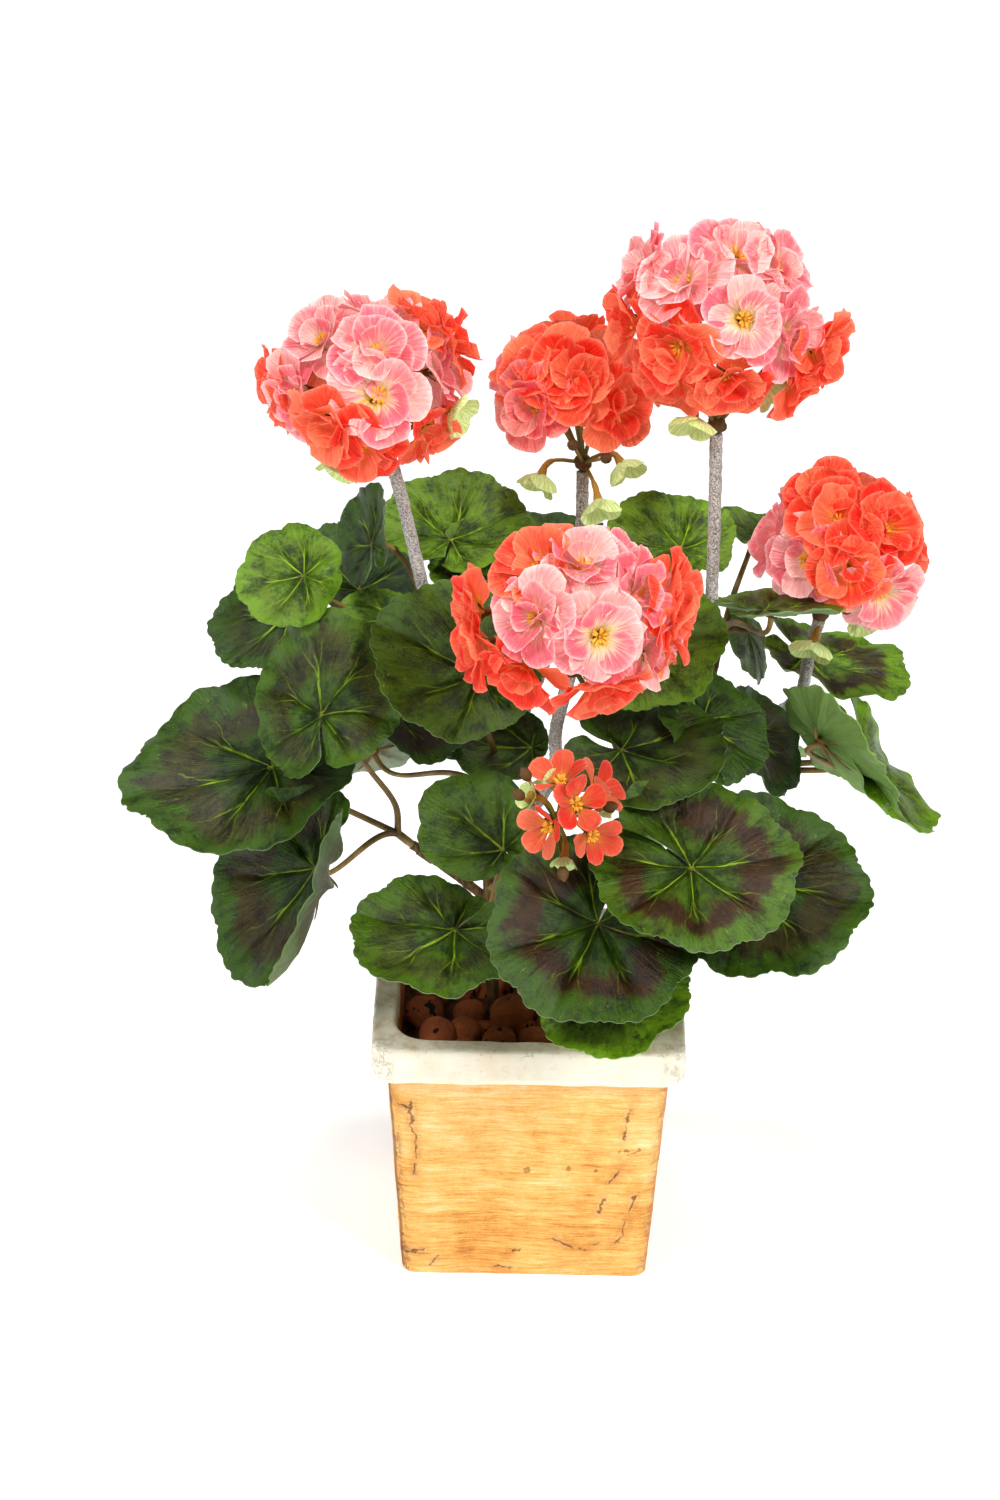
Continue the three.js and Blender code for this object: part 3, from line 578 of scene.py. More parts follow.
def pelletFinish():
    finish = Finish("pellets", {"Specular IOR Level": 0.2})
    place = finish.place()
    depth = finish.mark("depth")
    soft = finish.cloud(place, 90, 4)
    grain = finish.cloud(place, 900, 3)
    holes = finish.ease(finish.cloud(place, 230, 2, 0.4), 0.655, 0.69)
    colour = finish.ramp(soft * 0.7 + grain * 0.3, filling["clay"])
    colour = finish.mix(holes, colour, filling["hollow"])
    # The bed is painted in the dark of the shade that falls deep between the pellets
    colour = finish.mix(depth, colour, filling["hollow"])
    finish.paint(colour, 0.85 + 0.1 * grain)
    finish.relief(soft * 1.2 + grain * 0.4 - holes * 2.0, 0.0007)
    return finish


def pellet(mesh, place, radius, seed, fineness):
    chance = random.Random(seed)
    squeeze = Vector((1, chance.uniform(0.86, 1), chance.uniform(0.8, 0.95)))
    turn = Matrix.Rotation(chance.uniform(0, 6), 3, "X") @ Matrix.Rotation(chance.uniform(0, 6), 3, "Z")
    made = bmesh.ops.create_icosphere(mesh, subdivisions=fineness, radius=1)["verts"]
    offset = Vector((seed * 3.1, 0, 0))
    for corner in made:
        swell = 1 + 0.09 * noise.noise(corner.co * 1.2 + offset) + 0.03 * noise.noise(corner.co * 4 + offset)
        corner.co = (Vector(place) + turn @ (corner.co * squeeze * swell * radius)) * mm
    for face in {face for corner in made for face in corner.link_faces}:
        face.smooth = True


def makeFilling():
    mesh = newMesh("depth")
    outline = [(0, filling["bedBottom"]), (filling["bottomWidth"], filling["bedBottom"])]
    for i in range(1, 8):
        share = i / 7
        outline.append((filling["bottomWidth"] + share * (filling["topWidth"] - filling["bottomWidth"]),
                        filling["bedBottom"] + share * (filling["bedTop"] - filling["bedBottom"])))
    for share in (0.9, 0.75, 0.6, 0.45, 0.3, 0.15, 0):
        outline.append((filling["topWidth"] * share, filling["bedTop"]))

    def place(column, row):
        width, z = outline[row]
        point = squarePoint(width, min(filling["bedCorner"], width / 2), z, column, filling["columns"])
        if z == filling["bedTop"] and width < 100:
            point.z -= 1.5 * abs(noise.noise(point * 0.15))
        # The whole bed is marked for the painted shade between the pellets
        return point, {"depth": 0.8}

    bentGrid(mesh, filling["columns"], len(outline) - 1, place)
    for number, (x, y, z, radius) in enumerate(filling["shown"]):
        pellet(mesh, (x, y, z), radius, number, 4)
    footX, footY = filling["stemFoot"]
    smallRadius = filling["smallRadius"]
    for row in range(-4, 5):
        for column in range(-4, 5):
            x = (column + (row % 2) / 2) * filling["spacing"] + 0.8 * sin(5 * row + column)
            y = row * filling["spacing"] * 0.87 + 0.8 * cos(3 * column + row)
            z = filling["bedTop"] + 2 + sin(4 * column - row)
            seed = 20 + row * 9 + column
            # A pellet of the solid, and a smaller one deeper in the gap beside it
            small = (x + filling["spacing"] / 2, y + 0.5 * sin(seed), z - filling["smallDrop"])
            large = filling["radius"] + 0.6 * sin(7 * column + 3 * row)
            for place, radius in (((x, y, z), large), (small, smallRadius)):
                if max(abs(place[0]), abs(place[1])) > filling["reach"]:
                    continue
                if hypot(place[0] - footX, place[1] - footY) < filling["stemRoom"]:
                    continue
                room = 9 if radius == smallRadius else 11
                if any(hypot(px - place[0], py - place[1]) < room for px, py, *rest in filling["shown"]):
                    continue
                pellet(mesh, place, radius, seed + radius, 3)
    finishPiece(mesh, "claypellets", "filling", "clay_pellets", [pelletFinish()])


makeFilling()


# Woody stem with its side branches

woodyStem = {
    "runs": [
        (2.7, [(-14, 2, 75), (-17, 0, 150), (-18, 1, 172), (-14, 6, 205), (-6, 12, 230)]),
        (2.1, [(-17, 0, 152), (-34, 0, 166), (-50, 0, 178)]),
        (2.1, [(-18, 1, 172), (10, 8, 188), (50, 12, 203), (92, 14, 211)]),
        (2.1, [(62, 12, 206), (70, 20, 232), (76, 30, 258)]),
        (2.1, [(-14, 6, 205), (-24, 14, 222), (-36, 22, 242)]),
    ],
    "sleeve": [(-41, 0, 171.5), (-47, 0, 176)],
    "sleeveRadius": 2.7,
    "bark": [(0.3, "#3A2814"), (0.5, "#5E4526"), (0.72, "#86683C")],
}


def barkFinish():
    finish = Finish("bark", {"Specular IOR Level": 0.3})
    place = finish.place()
    ridges = finish.cloud(finish.stretched(place, (700, 700, 160)), 1.0, 4)
    finish.paint(finish.ramp(ridges, woodyStem["bark"]), 0.6 + 0.25 * ridges)
    finish.relief(ridges + finish.cloud(place, 150, 2), 0.0006)
    return finish


def makeWoodyStem():
    mesh = newMesh()
    for radius, points in woodyStem["runs"]:
        run = runThrough(points, 14)

        def girth(share):
            knot = max(0, sin(share * len(points) * 9)) ** 8
            return radius * (1 + 0.14 * knot - 0.08 * share)

        tube(mesh, run, girth, 12, rough=0.12)
    tube(mesh, runThrough(woodyStem["sleeve"], 4), lambda share: woodyStem["sleeveRadius"], 12)
    finishPiece(mesh, "woodyStem", "woody_stem", "woody_stem", [barkFinish()])


makeWoodyStem()


# Leafy stems: each forks into petioles with round, lobed leaves

leafShape = {
    "lobes": 7,
    "sinus": 14,
    "closed": -3,
    "overlap": 0.03,
    "thickness": 0.5,
    "cup": 0.1,
    "wave": 0.06,
    "pleat": 0.2,
    "ripple": 0.085,
    "tooth": 0.035,
    "offset": 0.28,
    "smallLeaf": 26,  # under this radius a leaf has fewer columns to a lobe
    "columns": (15, 25),
    "shares": (0, 0.05, 0.12, 0.21, 0.31, 0.42, 0.53, 0.64, 0.75, 0.85, 0.93, 0.98, 1),
    "ribs": (-2, -1, 0, 1, 2),
    "ribReach": 0.46,
    "petiole": 1.3,
    "fork": 1.8,
    "knob": 1.2,
}


def blade(at, radius, tilt, lean, heading, **more):
    return {"at": at, "radius": radius, "tilt": tilt, "lean": lean, "heading": heading, **more}


# For each leaf: where the petiole meets it, its radius, how far it tilts and which way it leans, where its
# tip heads, what its petiole passes by, and how it is folded. tone runs from dark to bright; it is partly
# the print's own green and partly painted light, as the high tones of the far right leaves paint their
# sheen. zone is how strong its brown horseshoe is.
leafyStems = {
    "left": {
        "foot": (-50, 0, 178), "fork": (-56, 0, 183), "tone": 0.15,
        "leaves": [
            blade((-108, -5, 215), 50, 22, -120, -172, by=[(-79, -3, 196)], zone=0.65),
            blade((-86, -35, 253), 36, 62, -145, 78,
                  foldRight=-75, by=[(-57, -6, 199), (-68, -18, 222)], zone=0.6, tone=0.3),
            blade((-88, -45, 189), 44, 57, -130, -149, foldLine=17, foldLeft=70, zone=0.8, paleBack=0.35),
        ],
    },
    "upper_left": {
        "foot": (-34, 20, 238), "fork": (-38, 24, 246), "tone": 0.75,
        "leaves": [
            blade((-95, 5, 297), 23, 45, -108, -178, offset=0.25, zone=0.25),
            blade((-75, 62, 266), 27, 35, -60, 92, offset=0.35, tone=0.1),
            blade((-57, 15, 274), 17.5, 22, -75, -165, offset=0.6),
            blade((-68, 24, 303), 22, 73, -155, 90, tone=0.15),
        ],
    },
    "low_left": {
        "foot": (-14, 6, 205), "fork": (-30, 6, 215), "tone": 0.12,
        "leaves": [
            blade((-104, 45, 263), 28, 45, -135, 160, offset=0.35, by=[(-78, 15, 235)], zone=0.4),
            blade((-58, -8, 246), 28, 38, -13, -48, offset=0.2, zone=1),
        ],
    },
    "middle": {
        "foot": (-15, 4, 195), "fork": (-12, -4, 206), "tone": 0.25,
        "leaves": [
            blade((-22, -30, 270), 36, 42, -75, 160, offset=0.35, zone=0.1),
            blade((-1, -5, 226), 22.5, 20, -95, 178, offset=0.7, zone=0.4),
        ],
    },
    "upper_middle": {
        "foot": (-12, 8, 214), "fork": (-17, 22, 238), "tone": 0.85,
        "leaves": [
            blade((-36, 40, 299), 32, 17, -93, 80, offset=0.3, zone=0.1),
            blade((-13, 25, 286), 29, 30, -97, 114, zone=0.6, tone=0.45),
            blade((4, 66, 287), 24, 6, 160, 82, tone=0.2),
        ],
    },
    "front_left": {
        "foot": (-17, 0, 145), "fork": (-17, -14, 148), "tone": 0.8,
        "leaves": [
            blade((-12, -55, 204), 24, 45, -100, 135, offset=0.7, tone=0.3),
            blade((-31, -70, 175), 34, 18, -75, -138, offset=0.38, zone=0.4, tone=0.3),
        ],
    },
    "front": {
        "foot": (-16, 0, 132), "fork": (-4, -24, 140), "tone": 0.15,
        "leaves": [
            blade((26, -92, 191), 43, 36, -86, -112, offset=0.12, zone=0.95),
            blade((33, -84, 159), 32, 22, -110, -86, tone=0.9, zone=0.25),
        ],
    },
    "front_right": {
        "foot": (-18, 0, 158), "fork": (4, -30, 184), "tone": 0.3,
        "leaves": [
            blade((62, -87, 214), 43, 25, -88, -38,
                  offset=0.05, by=[(28, -50, 212), (48, -74, 214)], zone=0.95, closed=-12),
            blade((90, -55, 192), 44, 28, -90, -60, offset=0.18, tone=0.15, zone=0.75),
        ],
    },
    "right": {
        "foot": (24, 9, 193), "fork": (28, -8, 205), "tone": 0.15,
        "leaves": [
            blade((35, -35, 240), 34, 16, -121, -30, offset=0.35, zone=0.4),
            blade((68, -18, 246), 26, 45, -45, -13, offset=0.2),
            blade((89, 2, 232), 25, 55, -25, 0, by=[(56, -8, 214), (76, -2, 221)], tone=0.0, zone=0.6),
        ],
    },
    "upper_right": {
        "foot": (73, 25, 244), "fork": (62, 20, 257), "tone": 0.8,
        "leaves": [
            blade((59, 35, 299), 27, 24, -80, 125, zone=0.15),
            blade((39, -12, 275), 31, 45, -110, 0, zone=0.3, tone=0.6),
        ],
    },
    "top_right": {
        "foot": (76, 30, 258), "fork": (78, 31, 265), "tone": 0.55,
        "leaves": [
            blade((94, 66, 294), 18, 12, 0, 140, zone=0.3),
            blade((91, -22, 297), 27, 12, 100, 30, zone=0.5),
            blade((88, 24, 268), 18, 100, -155, -139, zone=0.2),
        ],
    },
    "far_right": {
        "foot": (90, 14, 211), "fork": (104, 20, 206), "tone": 0.5,
        "leaves": [
            # Their high tones are painted sheen on these leaves
            blade((115, 60, 241), 33, 12, -5, -20, offset=0.4, zone=0.9, tone=0.8),
            blade((116, -15, 238), 33, 60, 38, -23, by=[(124, 6, 214)], tone=0.9),
            blade((136, 10, 221), 37, 49, 0, -48, zone=0.4, tone=1.0),
        ],
    },
    "back_left": {
        "foot": (-18, 2, 184), "fork": (-20, 24, 192), "tone": 0.2,
        "leaves": [
            blade((-24, 85, 222), 32, 40, 95, 100, zone=0.6),
            blade((-68, 76, 186), 33, 48, 120, 125, offset=0.35, zone=0.4),
        ],
    },
    "back_right": {
        "foot": (34, 11, 198), "fork": (38, 30, 200), "tone": 0.7,
        "leaves": [
            blade((38, 92, 164), 34, 42, 90, 90, zone=0.5),
            blade((84, 84, 190), 32, 35, 60, 55, zone=0.3),
            blade((6, 92, 258), 28, 38, 85, 80, tone=0.3, zone=0.5),
        ],
    },
}

darkStems = ("left", "low_left", "middle", "front", "right", "back_left")

leafColours = {
    "dark": "#071602",
    "darkSpot": "#264508",
    "bright": "#223D01",
    "brightSpot": "#74A00C",
    "zone": "#1D0A03",
    "zoneSpot": "#3E1E0C",
    "vein": "#B2DA28",
    # the painted shade in the creases along the veins
    "crease": "#0A1304",
    "edge": "#6C8E40",
    "underDark": "#7E8C74",
    "underBright": "#7AA24A",
    "petiole": [(0.25, "#56461F"), (0.5, "#806632"), (0.8, "#A88A4C")],
}


def leafFinish():
    finish = Finish("leaf", {
        "Specular IOR Level": 0.38,
        "Subsurface Weight": 0.04,
        "Subsurface Radius": (0.4, 1.0, 0.2),
        "Subsurface Scale": 0.001,
    })
    place = finish.place()
    share, lobe, size = finish.mark("share"), finish.mark("lobe"), finish.mark("size")
    tone, zone, under = finish.mark("tone"), finish.mark("zone"), finish.mark("under")

    # Printed cloth: mottled greens, brighter towards the margin in places
    mottle = finish.cloud(place, 130, 4, 0.6)
    fleck = finish.cloud(place, 700, 4, 0.7)
    streak = finish.cloud(finish.vector(lobe * 9, share * 2.2, size), 1.0, 4, 0.65)
    spots = finish.ease(mottle * 0.8 + fleck * 0.55 + streak * 0.35 + share * 0.15, 0.74, 1.08)
    dark = finish.mix(spots, leafColours["dark"], leafColours["darkSpot"])
    bright = finish.mix(spots, leafColours["bright"], leafColours["brightSpot"])
    # tone mixes the dark and bright greens; where it is high, as on the far right leaves, it is painted
    # sheen
    green = finish.mix(tone, dark, bright)

    # The brown horseshoe, broken by streaks and patches of green
    patches = finish.cloud(place, 60, 3)
    wobble = share + (streak - 0.5) * 0.42 + (patches - 0.5) * 0.6
    horseshoe = finish.ease(wobble, 0.36, 0.52) * finish.ease(wobble, 0.88, 0.7)
    horseshoe = horseshoe * finish.ease(abs(lobe), 3.4, 2.6)
    brown = finish.mix(spots, leafColours["zone"], leafColours["zoneSpot"])
    colour = finish.mix(horseshoe * zone * (1 - 0.3 * finish.ease(fleck, 0.55, 0.7)), green, brown)

    # Veins run out to half the radius, fork and fade
    wandered = lobe + (finish.cloud(place, 90, 2) - 0.5) * 0.2
    off = abs(wandered - wandered.round())
    width = share * size * 0.83
    worn = finish.patches(place, 0.3, 0.55, 160, 2)
    main = finish.ease(off * width, 0.42, 0.1) * finish.ease(share, 0.66, 0.34) * (0.25 + 0.75 * worn)
    forked = abs(off - 0.24 * finish.ease(share, 0.26, 0.8))
    forks = finish.ease(forked * width, 0.32, 0.08)
    forks = forks * finish.ease(share, 0.3, 0.36) * finish.ease(share, 0.8, 0.5)
    veins = main.most(forks * worn * 0.4)
    # Painted shade darkens the creases along the veins towards the middle, which the relief also sinks
    crease = finish.ease(off * width, 2.6, 0.3) * finish.ease(share, 0.9, 0.5)
    colour = finish.mix(crease * 0.4, colour, leafColours["crease"])
    net = finish.patches(finish.vector(lobe * 14, share * 13, size), 0.58, 0.7, 1.0, 4, 0.75)
    net = net * finish.ease(patches, 0.5, 0.62) * 0.5
    colour = finish.mix(veins.most(net) * (0.65 + 0.3 * tone), colour, leafColours["vein"])
    colour = finish.mix(finish.ease(share, 0.985, 1.0) * 0.3, colour, leafColours["edge"])

    # The underside is paler and plain; a high tone lightens it as painted sheen, too
    pale = finish.mix(tone, leafColours["underDark"], leafColours["underBright"])
    pale = finish.mix(horseshoe * zone * 0.5, pale, "#6B5A46")
    pale = finish.mix(finish.ease(streak, 0.4, 0.65) * 0.3, pale, "#4E6236")
    colour = finish.mix(under, colour, pale)
    weave = finish.cloud(place, 2600, 2)
    finish.paint(colour, 0.26 + 0.18 * fleck + under * 0.2)
    puckered = mottle * 0.8 + fleck * 0.5 + streak * 1.5 + weave * 0.22 - veins * 0.6 - crease * 1.2
    finish.relief(puckered, 0.0008)
    return finish


def petioleFinish():
    finish = Finish("petiole", {"Specular IOR Level": 0.4})
    place = finish.place()
    soft = finish.cloud(place, 120, 3)
    finish.paint(finish.ramp(soft, leafColours["petiole"]), 0.45 + 0.2 * soft)
    finish.relief(finish.cloud(place, 600, 2), 0.0003)
    return finish


def bladeReach(angle, offset):
    kidney = offset * cos(angle) + sqrt(1 - (offset * sin(angle)) ** 2)
    lobe = abs(cos(lobeOf(angle) * pi))
    # The lobes beside the notch are rounded off
    beside = max(0, abs(angle) - (pi - radians(leafShape["sinus"]) - 0.4)) / 0.4
    return kidney * (0.92 + 0.08 * sqrt(lobe)) * (1 - 0.2 * beside ** 3)


def lobeOf(angle):
    # Whole numbers run along the veins
    return angle / (pi - radians(leafShape["sinus"])) * leafShape["lobes"] / 2


def foldPoint(point, leaf):
    # Rolls the parts of the blade to either side of its fold line up by an angle
    line = Vector((cos(radians(leaf.get("foldLine", 0))), sin(radians(leaf.get("foldLine", 0))), 0))
    aside = Vector((-line.y, line.x, 0))
    along = point.dot(line)
    d = point.dot(aside)
    angle = radians(leaf.get("foldLeft" if d > 0 else "foldRight", 0))
    if angle == 0:
        return point
    width = 0.55 * leaf["radius"]
    out = abs(d)
    bent = min(out, width)
    a = angle * bent / width
    r = width / angle
    y = r * sin(a)
    z = r * (1 - cos(a))
    if out > width:
        y += (out - width) * cos(angle)
        z += (out - width) * sin(angle)
    y -= point.z * sin(a)
    z += point.z * cos(a)
    return line * along + aside * (y if d > 0 else -y) + up * z


def bladeFrame(leaf):
    lean = radians(leaf["lean"])
    axis = Vector((-sin(lean), cos(lean), 0))
    tilted = Matrix.Rotation(radians(leaf["tilt"]), 4, axis)
    return Matrix.Translation(leaf["at"]) @ tilted @ Matrix.Rotation(radians(leaf["heading"]), 4, "Z")


def bladeSurface(leaf):
    # Where a point of the blade is: share of the way out, angle off the tip, and height over its middle
    frameOf = bladeFrame(leaf)
    radius = leaf["radius"]
    seed = Vector(leaf["at"]) * 0.37

    span = pi - radians(leafShape["sinus"])
    closing = radians(leafShape["sinus"] - leaf.get("closed", leafShape["closed"]))

    def onBlade(share, angle, lift):
        lobe = lobeOf(angle)
        reach = radius * share * bladeReach(angle, leaf.get("offset", leafShape["offset"]))
        teeth = (1 - abs(sin(lobe * pi * 5))) ** 1.5 * leafShape["tooth"] * max(0, share - 0.9) * 10
        reach *= 1 - teeth
        # The notch narrows outwards, until its two sides pass over each other
        turned = angle + closing * share ** 0.5 * (angle / span) ** 5
        flat = Vector((reach * cos(turned), reach * sin(turned), 0))
        puff = abs(sin(lobe * pi)) ** 0.6 - 0.55
        strength = leafShape["pleat"] * (0.75 + noise.noise(seed + Vector((int(lobe + 9), 0, 0)) * 1.7))
        z = leafShape["cup"] * share ** 2 + leafShape["wave"] * share ** 3 * sin(3 * angle)
        z += strength * puff * share ** 0.6 * (1.25 - share)
        z += leafShape["ripple"] * share ** 1.5 * noise.noise(flat * (2.1 / radius) + seed) * 1.6
        z += 0.012 * share ** 4 * sin(lobe * pi * 5 + seed.x)
        z += leafShape["overlap"] * share ** 0.5 * (angle / span) ** 5
        return frameOf @ foldPoint(flat + up * (z * radius + lift), leaf)

    return onBlade


def makeBlade(mesh, leaf, tone):
    onBlade = bladeSurface(leaf)
    shares = leafShape["shares"]
    perLobe = leafShape["columns"][leaf["radius"] >= leafShape["smallLeaf"]]
    columns = perLobe * leafShape["lobes"]
    span = pi - radians(leafShape["sinus"])
    rows = 2 * len(shares) - 1

    def place(column, row):
        # Out over the upper face and back under the lower one. The two meet at the sides of the notch.
        isUnder = row >= len(shares)
        share = shares[rows - row] if isUnder else shares[row]
        angle = -span + 2 * span * column / columns
        thickness = 0 if column in (0, columns) else leafShape["thickness"]
        point = onBlade(share, angle, (-0.5 if isUnder else 0.5) * thickness)
        marks = {
            "share": share,
            "lobe": lobeOf(angle),
            "size": leaf["radius"],
            "tone": leaf.get("tone", tone),
            "zone": leaf.get("zone", 0.0),
            "under": leaf.get("paleBack", 1) * isUnder,
        }
        return point, marks

    bentGrid(mesh, columns, rows, place)
    for lobe in leafShape["ribs"]:
        angle = lobe / leafShape["lobes"] * 2 * span
        reach = leafShape["ribReach"] * (1 - 0.08 * abs(lobe))
        run = [onBlade(0.03 + (reach - 0.03) * i / 8, angle, -0.6) for i in range(9)]
        tube(mesh, run, lambda share: 1.0 - 0.75 * share, 6, 1)


def makePetiole(mesh, fork, leaf):
    frameOf = bladeFrame(leaf).to_3x3()
    tip = frameOf @ Vector((1, 0, 0))
    normal = frameOf @ up
    end = Vector(leaf["at"]) + tip * 3
    start = Vector(fork)
    length = (end - start).length
    below = end - normal * min(7, 0.2 * length) - tip * 3
    if "by" in leaf:
        run = runThrough([fork, *leaf["by"], below, end - normal * 0.4], 8)
    else:
        out = ((end - start).normalized() + up * 0.5).normalized()
        run = interpolate_bezier(start, start + out * 0.4 * length, end - normal * 0.35 * length,
                                 end - normal * 0.4, 20)
    tube(mesh, run, lambda share: leafShape["petiole"] * (1.15 - 0.5 * share + 0.45 * share ** 6), 8, 1)
    # The knob that holds the blade shows a little over its middle
    knob = bmesh.ops.create_icosphere(mesh, subdivisions=2, radius=leafShape["knob"] * mm)["verts"]
    middle = (Vector(leaf["at"]) + tip * 1.5 - normal * 0.3) * mm
    for corner in knob:
        corner.co = middle + frameOf @ (corner.co * Vector((1.2, 1, 0.7)))
    for face in {face for corner in knob for face in corner.link_faces}:
        face.smooth = True
        face.material_index = 1


def makeLeafyStems():
    finishes = [leafFinish(), petioleFinish()]
    for name, stem in leafyStems.items():
        mesh = newMesh("share", "lobe", "size", "tone", "zone", "under")
        foot = runThrough([stem["foot"], stem["fork"]], 6)
        tube(mesh, foot, lambda share: leafShape["fork"], 8, 1, rough=0.1)
        for leaf in stem["leaves"]:
            makePetiole(mesh, stem["fork"], leaf)
            makeBlade(mesh, leaf, stem["tone"])
        slot = "dark_leaves" if name in darkStems else "bright_leaves"
        finishPiece(mesh, f"leaves_{name}", f"leafy_stem_{name}", slot, finishes)


makeLeafyStems()


# Flower stalks, covered in short grey flock

stalks = {
    "a": (2.6, [(-26, 15, 224), (-38, 12, 255), (-47, 5, 294), (-56, -8, 340), (-60, -14, 357)]),
    "b": (2.6, [(-7, 12, 228), (4, 26, 252), (17, 45, 295), (18, 50, 327)]),
    "c": (2.6, [(67, 17, 223), (70, 11, 245), (71, 10, 284), (71, 8, 316), (70, 5, 362)]),
    "d": (2.6, [(-18, 1, 176), (-2, -20, 203), (8, -34, 230), (8, -44, 252), (13, -69, 290)]),
    "e": (2.6, [(84, 14, 210), (98, 34, 222), (110, 27, 237), (113, 17, 262), (116, 13, 279)]),
    "f": (1.3, [(-18, 0, 166), (4, -30, 191), (12, -60, 212), (10, -69, 221)]),
}

flock = {
    "pale": "#E6E1D8",
    "grey": "#8C857C",
    "speck": "#2E2922",
    "nap": 0.2,
}


def flockFinish():
    finish = Finish("flock", {"Specular IOR Level": 0.1, "Sheen Weight": 0.5, "Sheen Roughness": 0.5})
    place = finish.place()
    fine = finish.cloud(place, 1500, 3, 0.75)
    coarse = finish.cloud(place, 180, 2)
    colour = finish.mix(finish.ease(fine, 0.4, 0.62), flock["grey"], flock["pale"])
    specks = finish.patches(place, 0.56, 0.64, 1100, 2, 0.6)
    colour = finish.mix(specks * (0.5 + 0.6 * coarse), colour, flock["speck"])
    finish.paint(colour, 0.95)
    finish.relief(fine, 0.0005)
    return finish


def makeStalks():
    finish = flockFinish()
    for name, (radius, points) in stalks.items():
        mesh = newMesh()
        run = runThrough(points, 28)
        nap = flock["nap"] / radius
        chance = random.Random(name)
        tube(mesh, run, lambda share: radius * (1 + nap * chance.uniform(-1, 1)), 16)
        finishPiece(mesh, f"stalk_{name}", f"flower_stalk_{name}", "flocked_stalk", [finish], 80)


makeStalks()


# Flower heads: each has its hub, pedicels, florets in layers of petals, spent bells and buds

# A layer's petals: how many, length, half the fan's angle, how far they lean off the floret's axis at the
# base and at the tip, how far they bowl out between, how the edge ruffles and the blade creases, and by how
# much they differ
petalLayers = {
    "outer": {"count": 5, "length": 21.5, "fan": 37, "from": 36, "to": 92, "bowl": 16, "ruffle": 1.2,
              "crease": 0.06, "loose": 14, "sides": 10, "rows": 5},
    "middle": {"count": 5, "length": 19, "fan": 38, "from": 16, "to": 56, "bowl": 24, "ruffle": 1.3,
               "crease": 0.08, "loose": 18, "sides": 10, "rows": 5},
    "inner": {"count": 3, "length": 14, "fan": 42, "from": 4, "to": 30, "bowl": 18, "ruffle": 1.1,
              "crease": 0.08, "loose": 20, "sides": 10, "rows": 5},
    "single": {"count": 5, "length": 15.5, "fan": 25, "from": 12, "to": 40, "bowl": 34, "ruffle": 0.25,
               "crease": 0.03, "loose": 18, "sides": 8, "rows": 6},
    "bell": {"count": 4, "length": 12, "fan": 50, "from": 64, "to": 20, "bowl": 4, "ruffle": 0.5,
             "crease": 0.2, "loose": 7, "sides": 8, "rows": 5},
    "sepal": {"count": 5, "length": 5.5, "fan": 15, "from": 24, "to": 50, "bowl": 0, "ruffle": 0.1,
              "crease": 0.1, "loose": 5, "sides": 4, "rows": 4},
}

# coral: 0 is pink and 1 is coral. throat: how yellow it is inside. open: how far the layers open.
floretKinds = {
    "pink": {"coral": 0.0, "throat": 0.6, "open": 1.0},
    "cream": {"coral": 0.0, "throat": 1.0, "open": 1.12},
    "rose": {"coral": 0.45, "throat": 0.35, "open": 1.0},
    "coral": {"coral": 1.0, "throat": 0.7, "open": 0.97},
    "salmon": {"coral": 1.0, "throat": 0.45, "open": 0.92},
}

petalColours = {
    "pink": "#F46474",
    "pinkPale": "#FFBBB2",
    "coral": "#F2260C",
    "coralPale": "#FF7850",
    "edgePink": "#FFDAD4",
    "edgeCoral": "#FFA482",
    "throat": "#FFCC3A",
    "deepThroat": "#F28C12",
    "cream": "#FFEBC8",
    "coralThroat": "#FF8434",
    "green": [(0.0, "#5C5A22"), (0.45, "#94782C"), (0.8, "#C08A30")],
    "calyx": "#54502A",
    "bell": "#E6F2B2",
    "bellDeep": "#BDD67C",
    "pollen": "#F59A14",
    "bud": "#6A3A1C",
}

headShape = {
    "hubRadius": 4.2,
    "depth": 10,
    "towardsFront": 0.45,
    "bellDepth": 9,
    "pedicel": 0.85,
    "sleeve": 1.35,
    "thickness": 0.28,
    "smallScale": 0.8,
    "simpleDepth": 10,
    "cup": [(-2.2, 1.2), (-1.6, 1.4), (-1, 1.6), (-0.4, 1.7), (0.2, 1.9), (0.8, 2.1)],  # height and radius
    "bud": [(-3.5, 0.9), (-2.2, 1.7), (-0.8, 2.3), (0.8, 2.4), (2.4, 1.8), (3.8, 1.0), (4.8, 0.4)],
    "budStalk": 0.75,
    "stamens": 10,
}

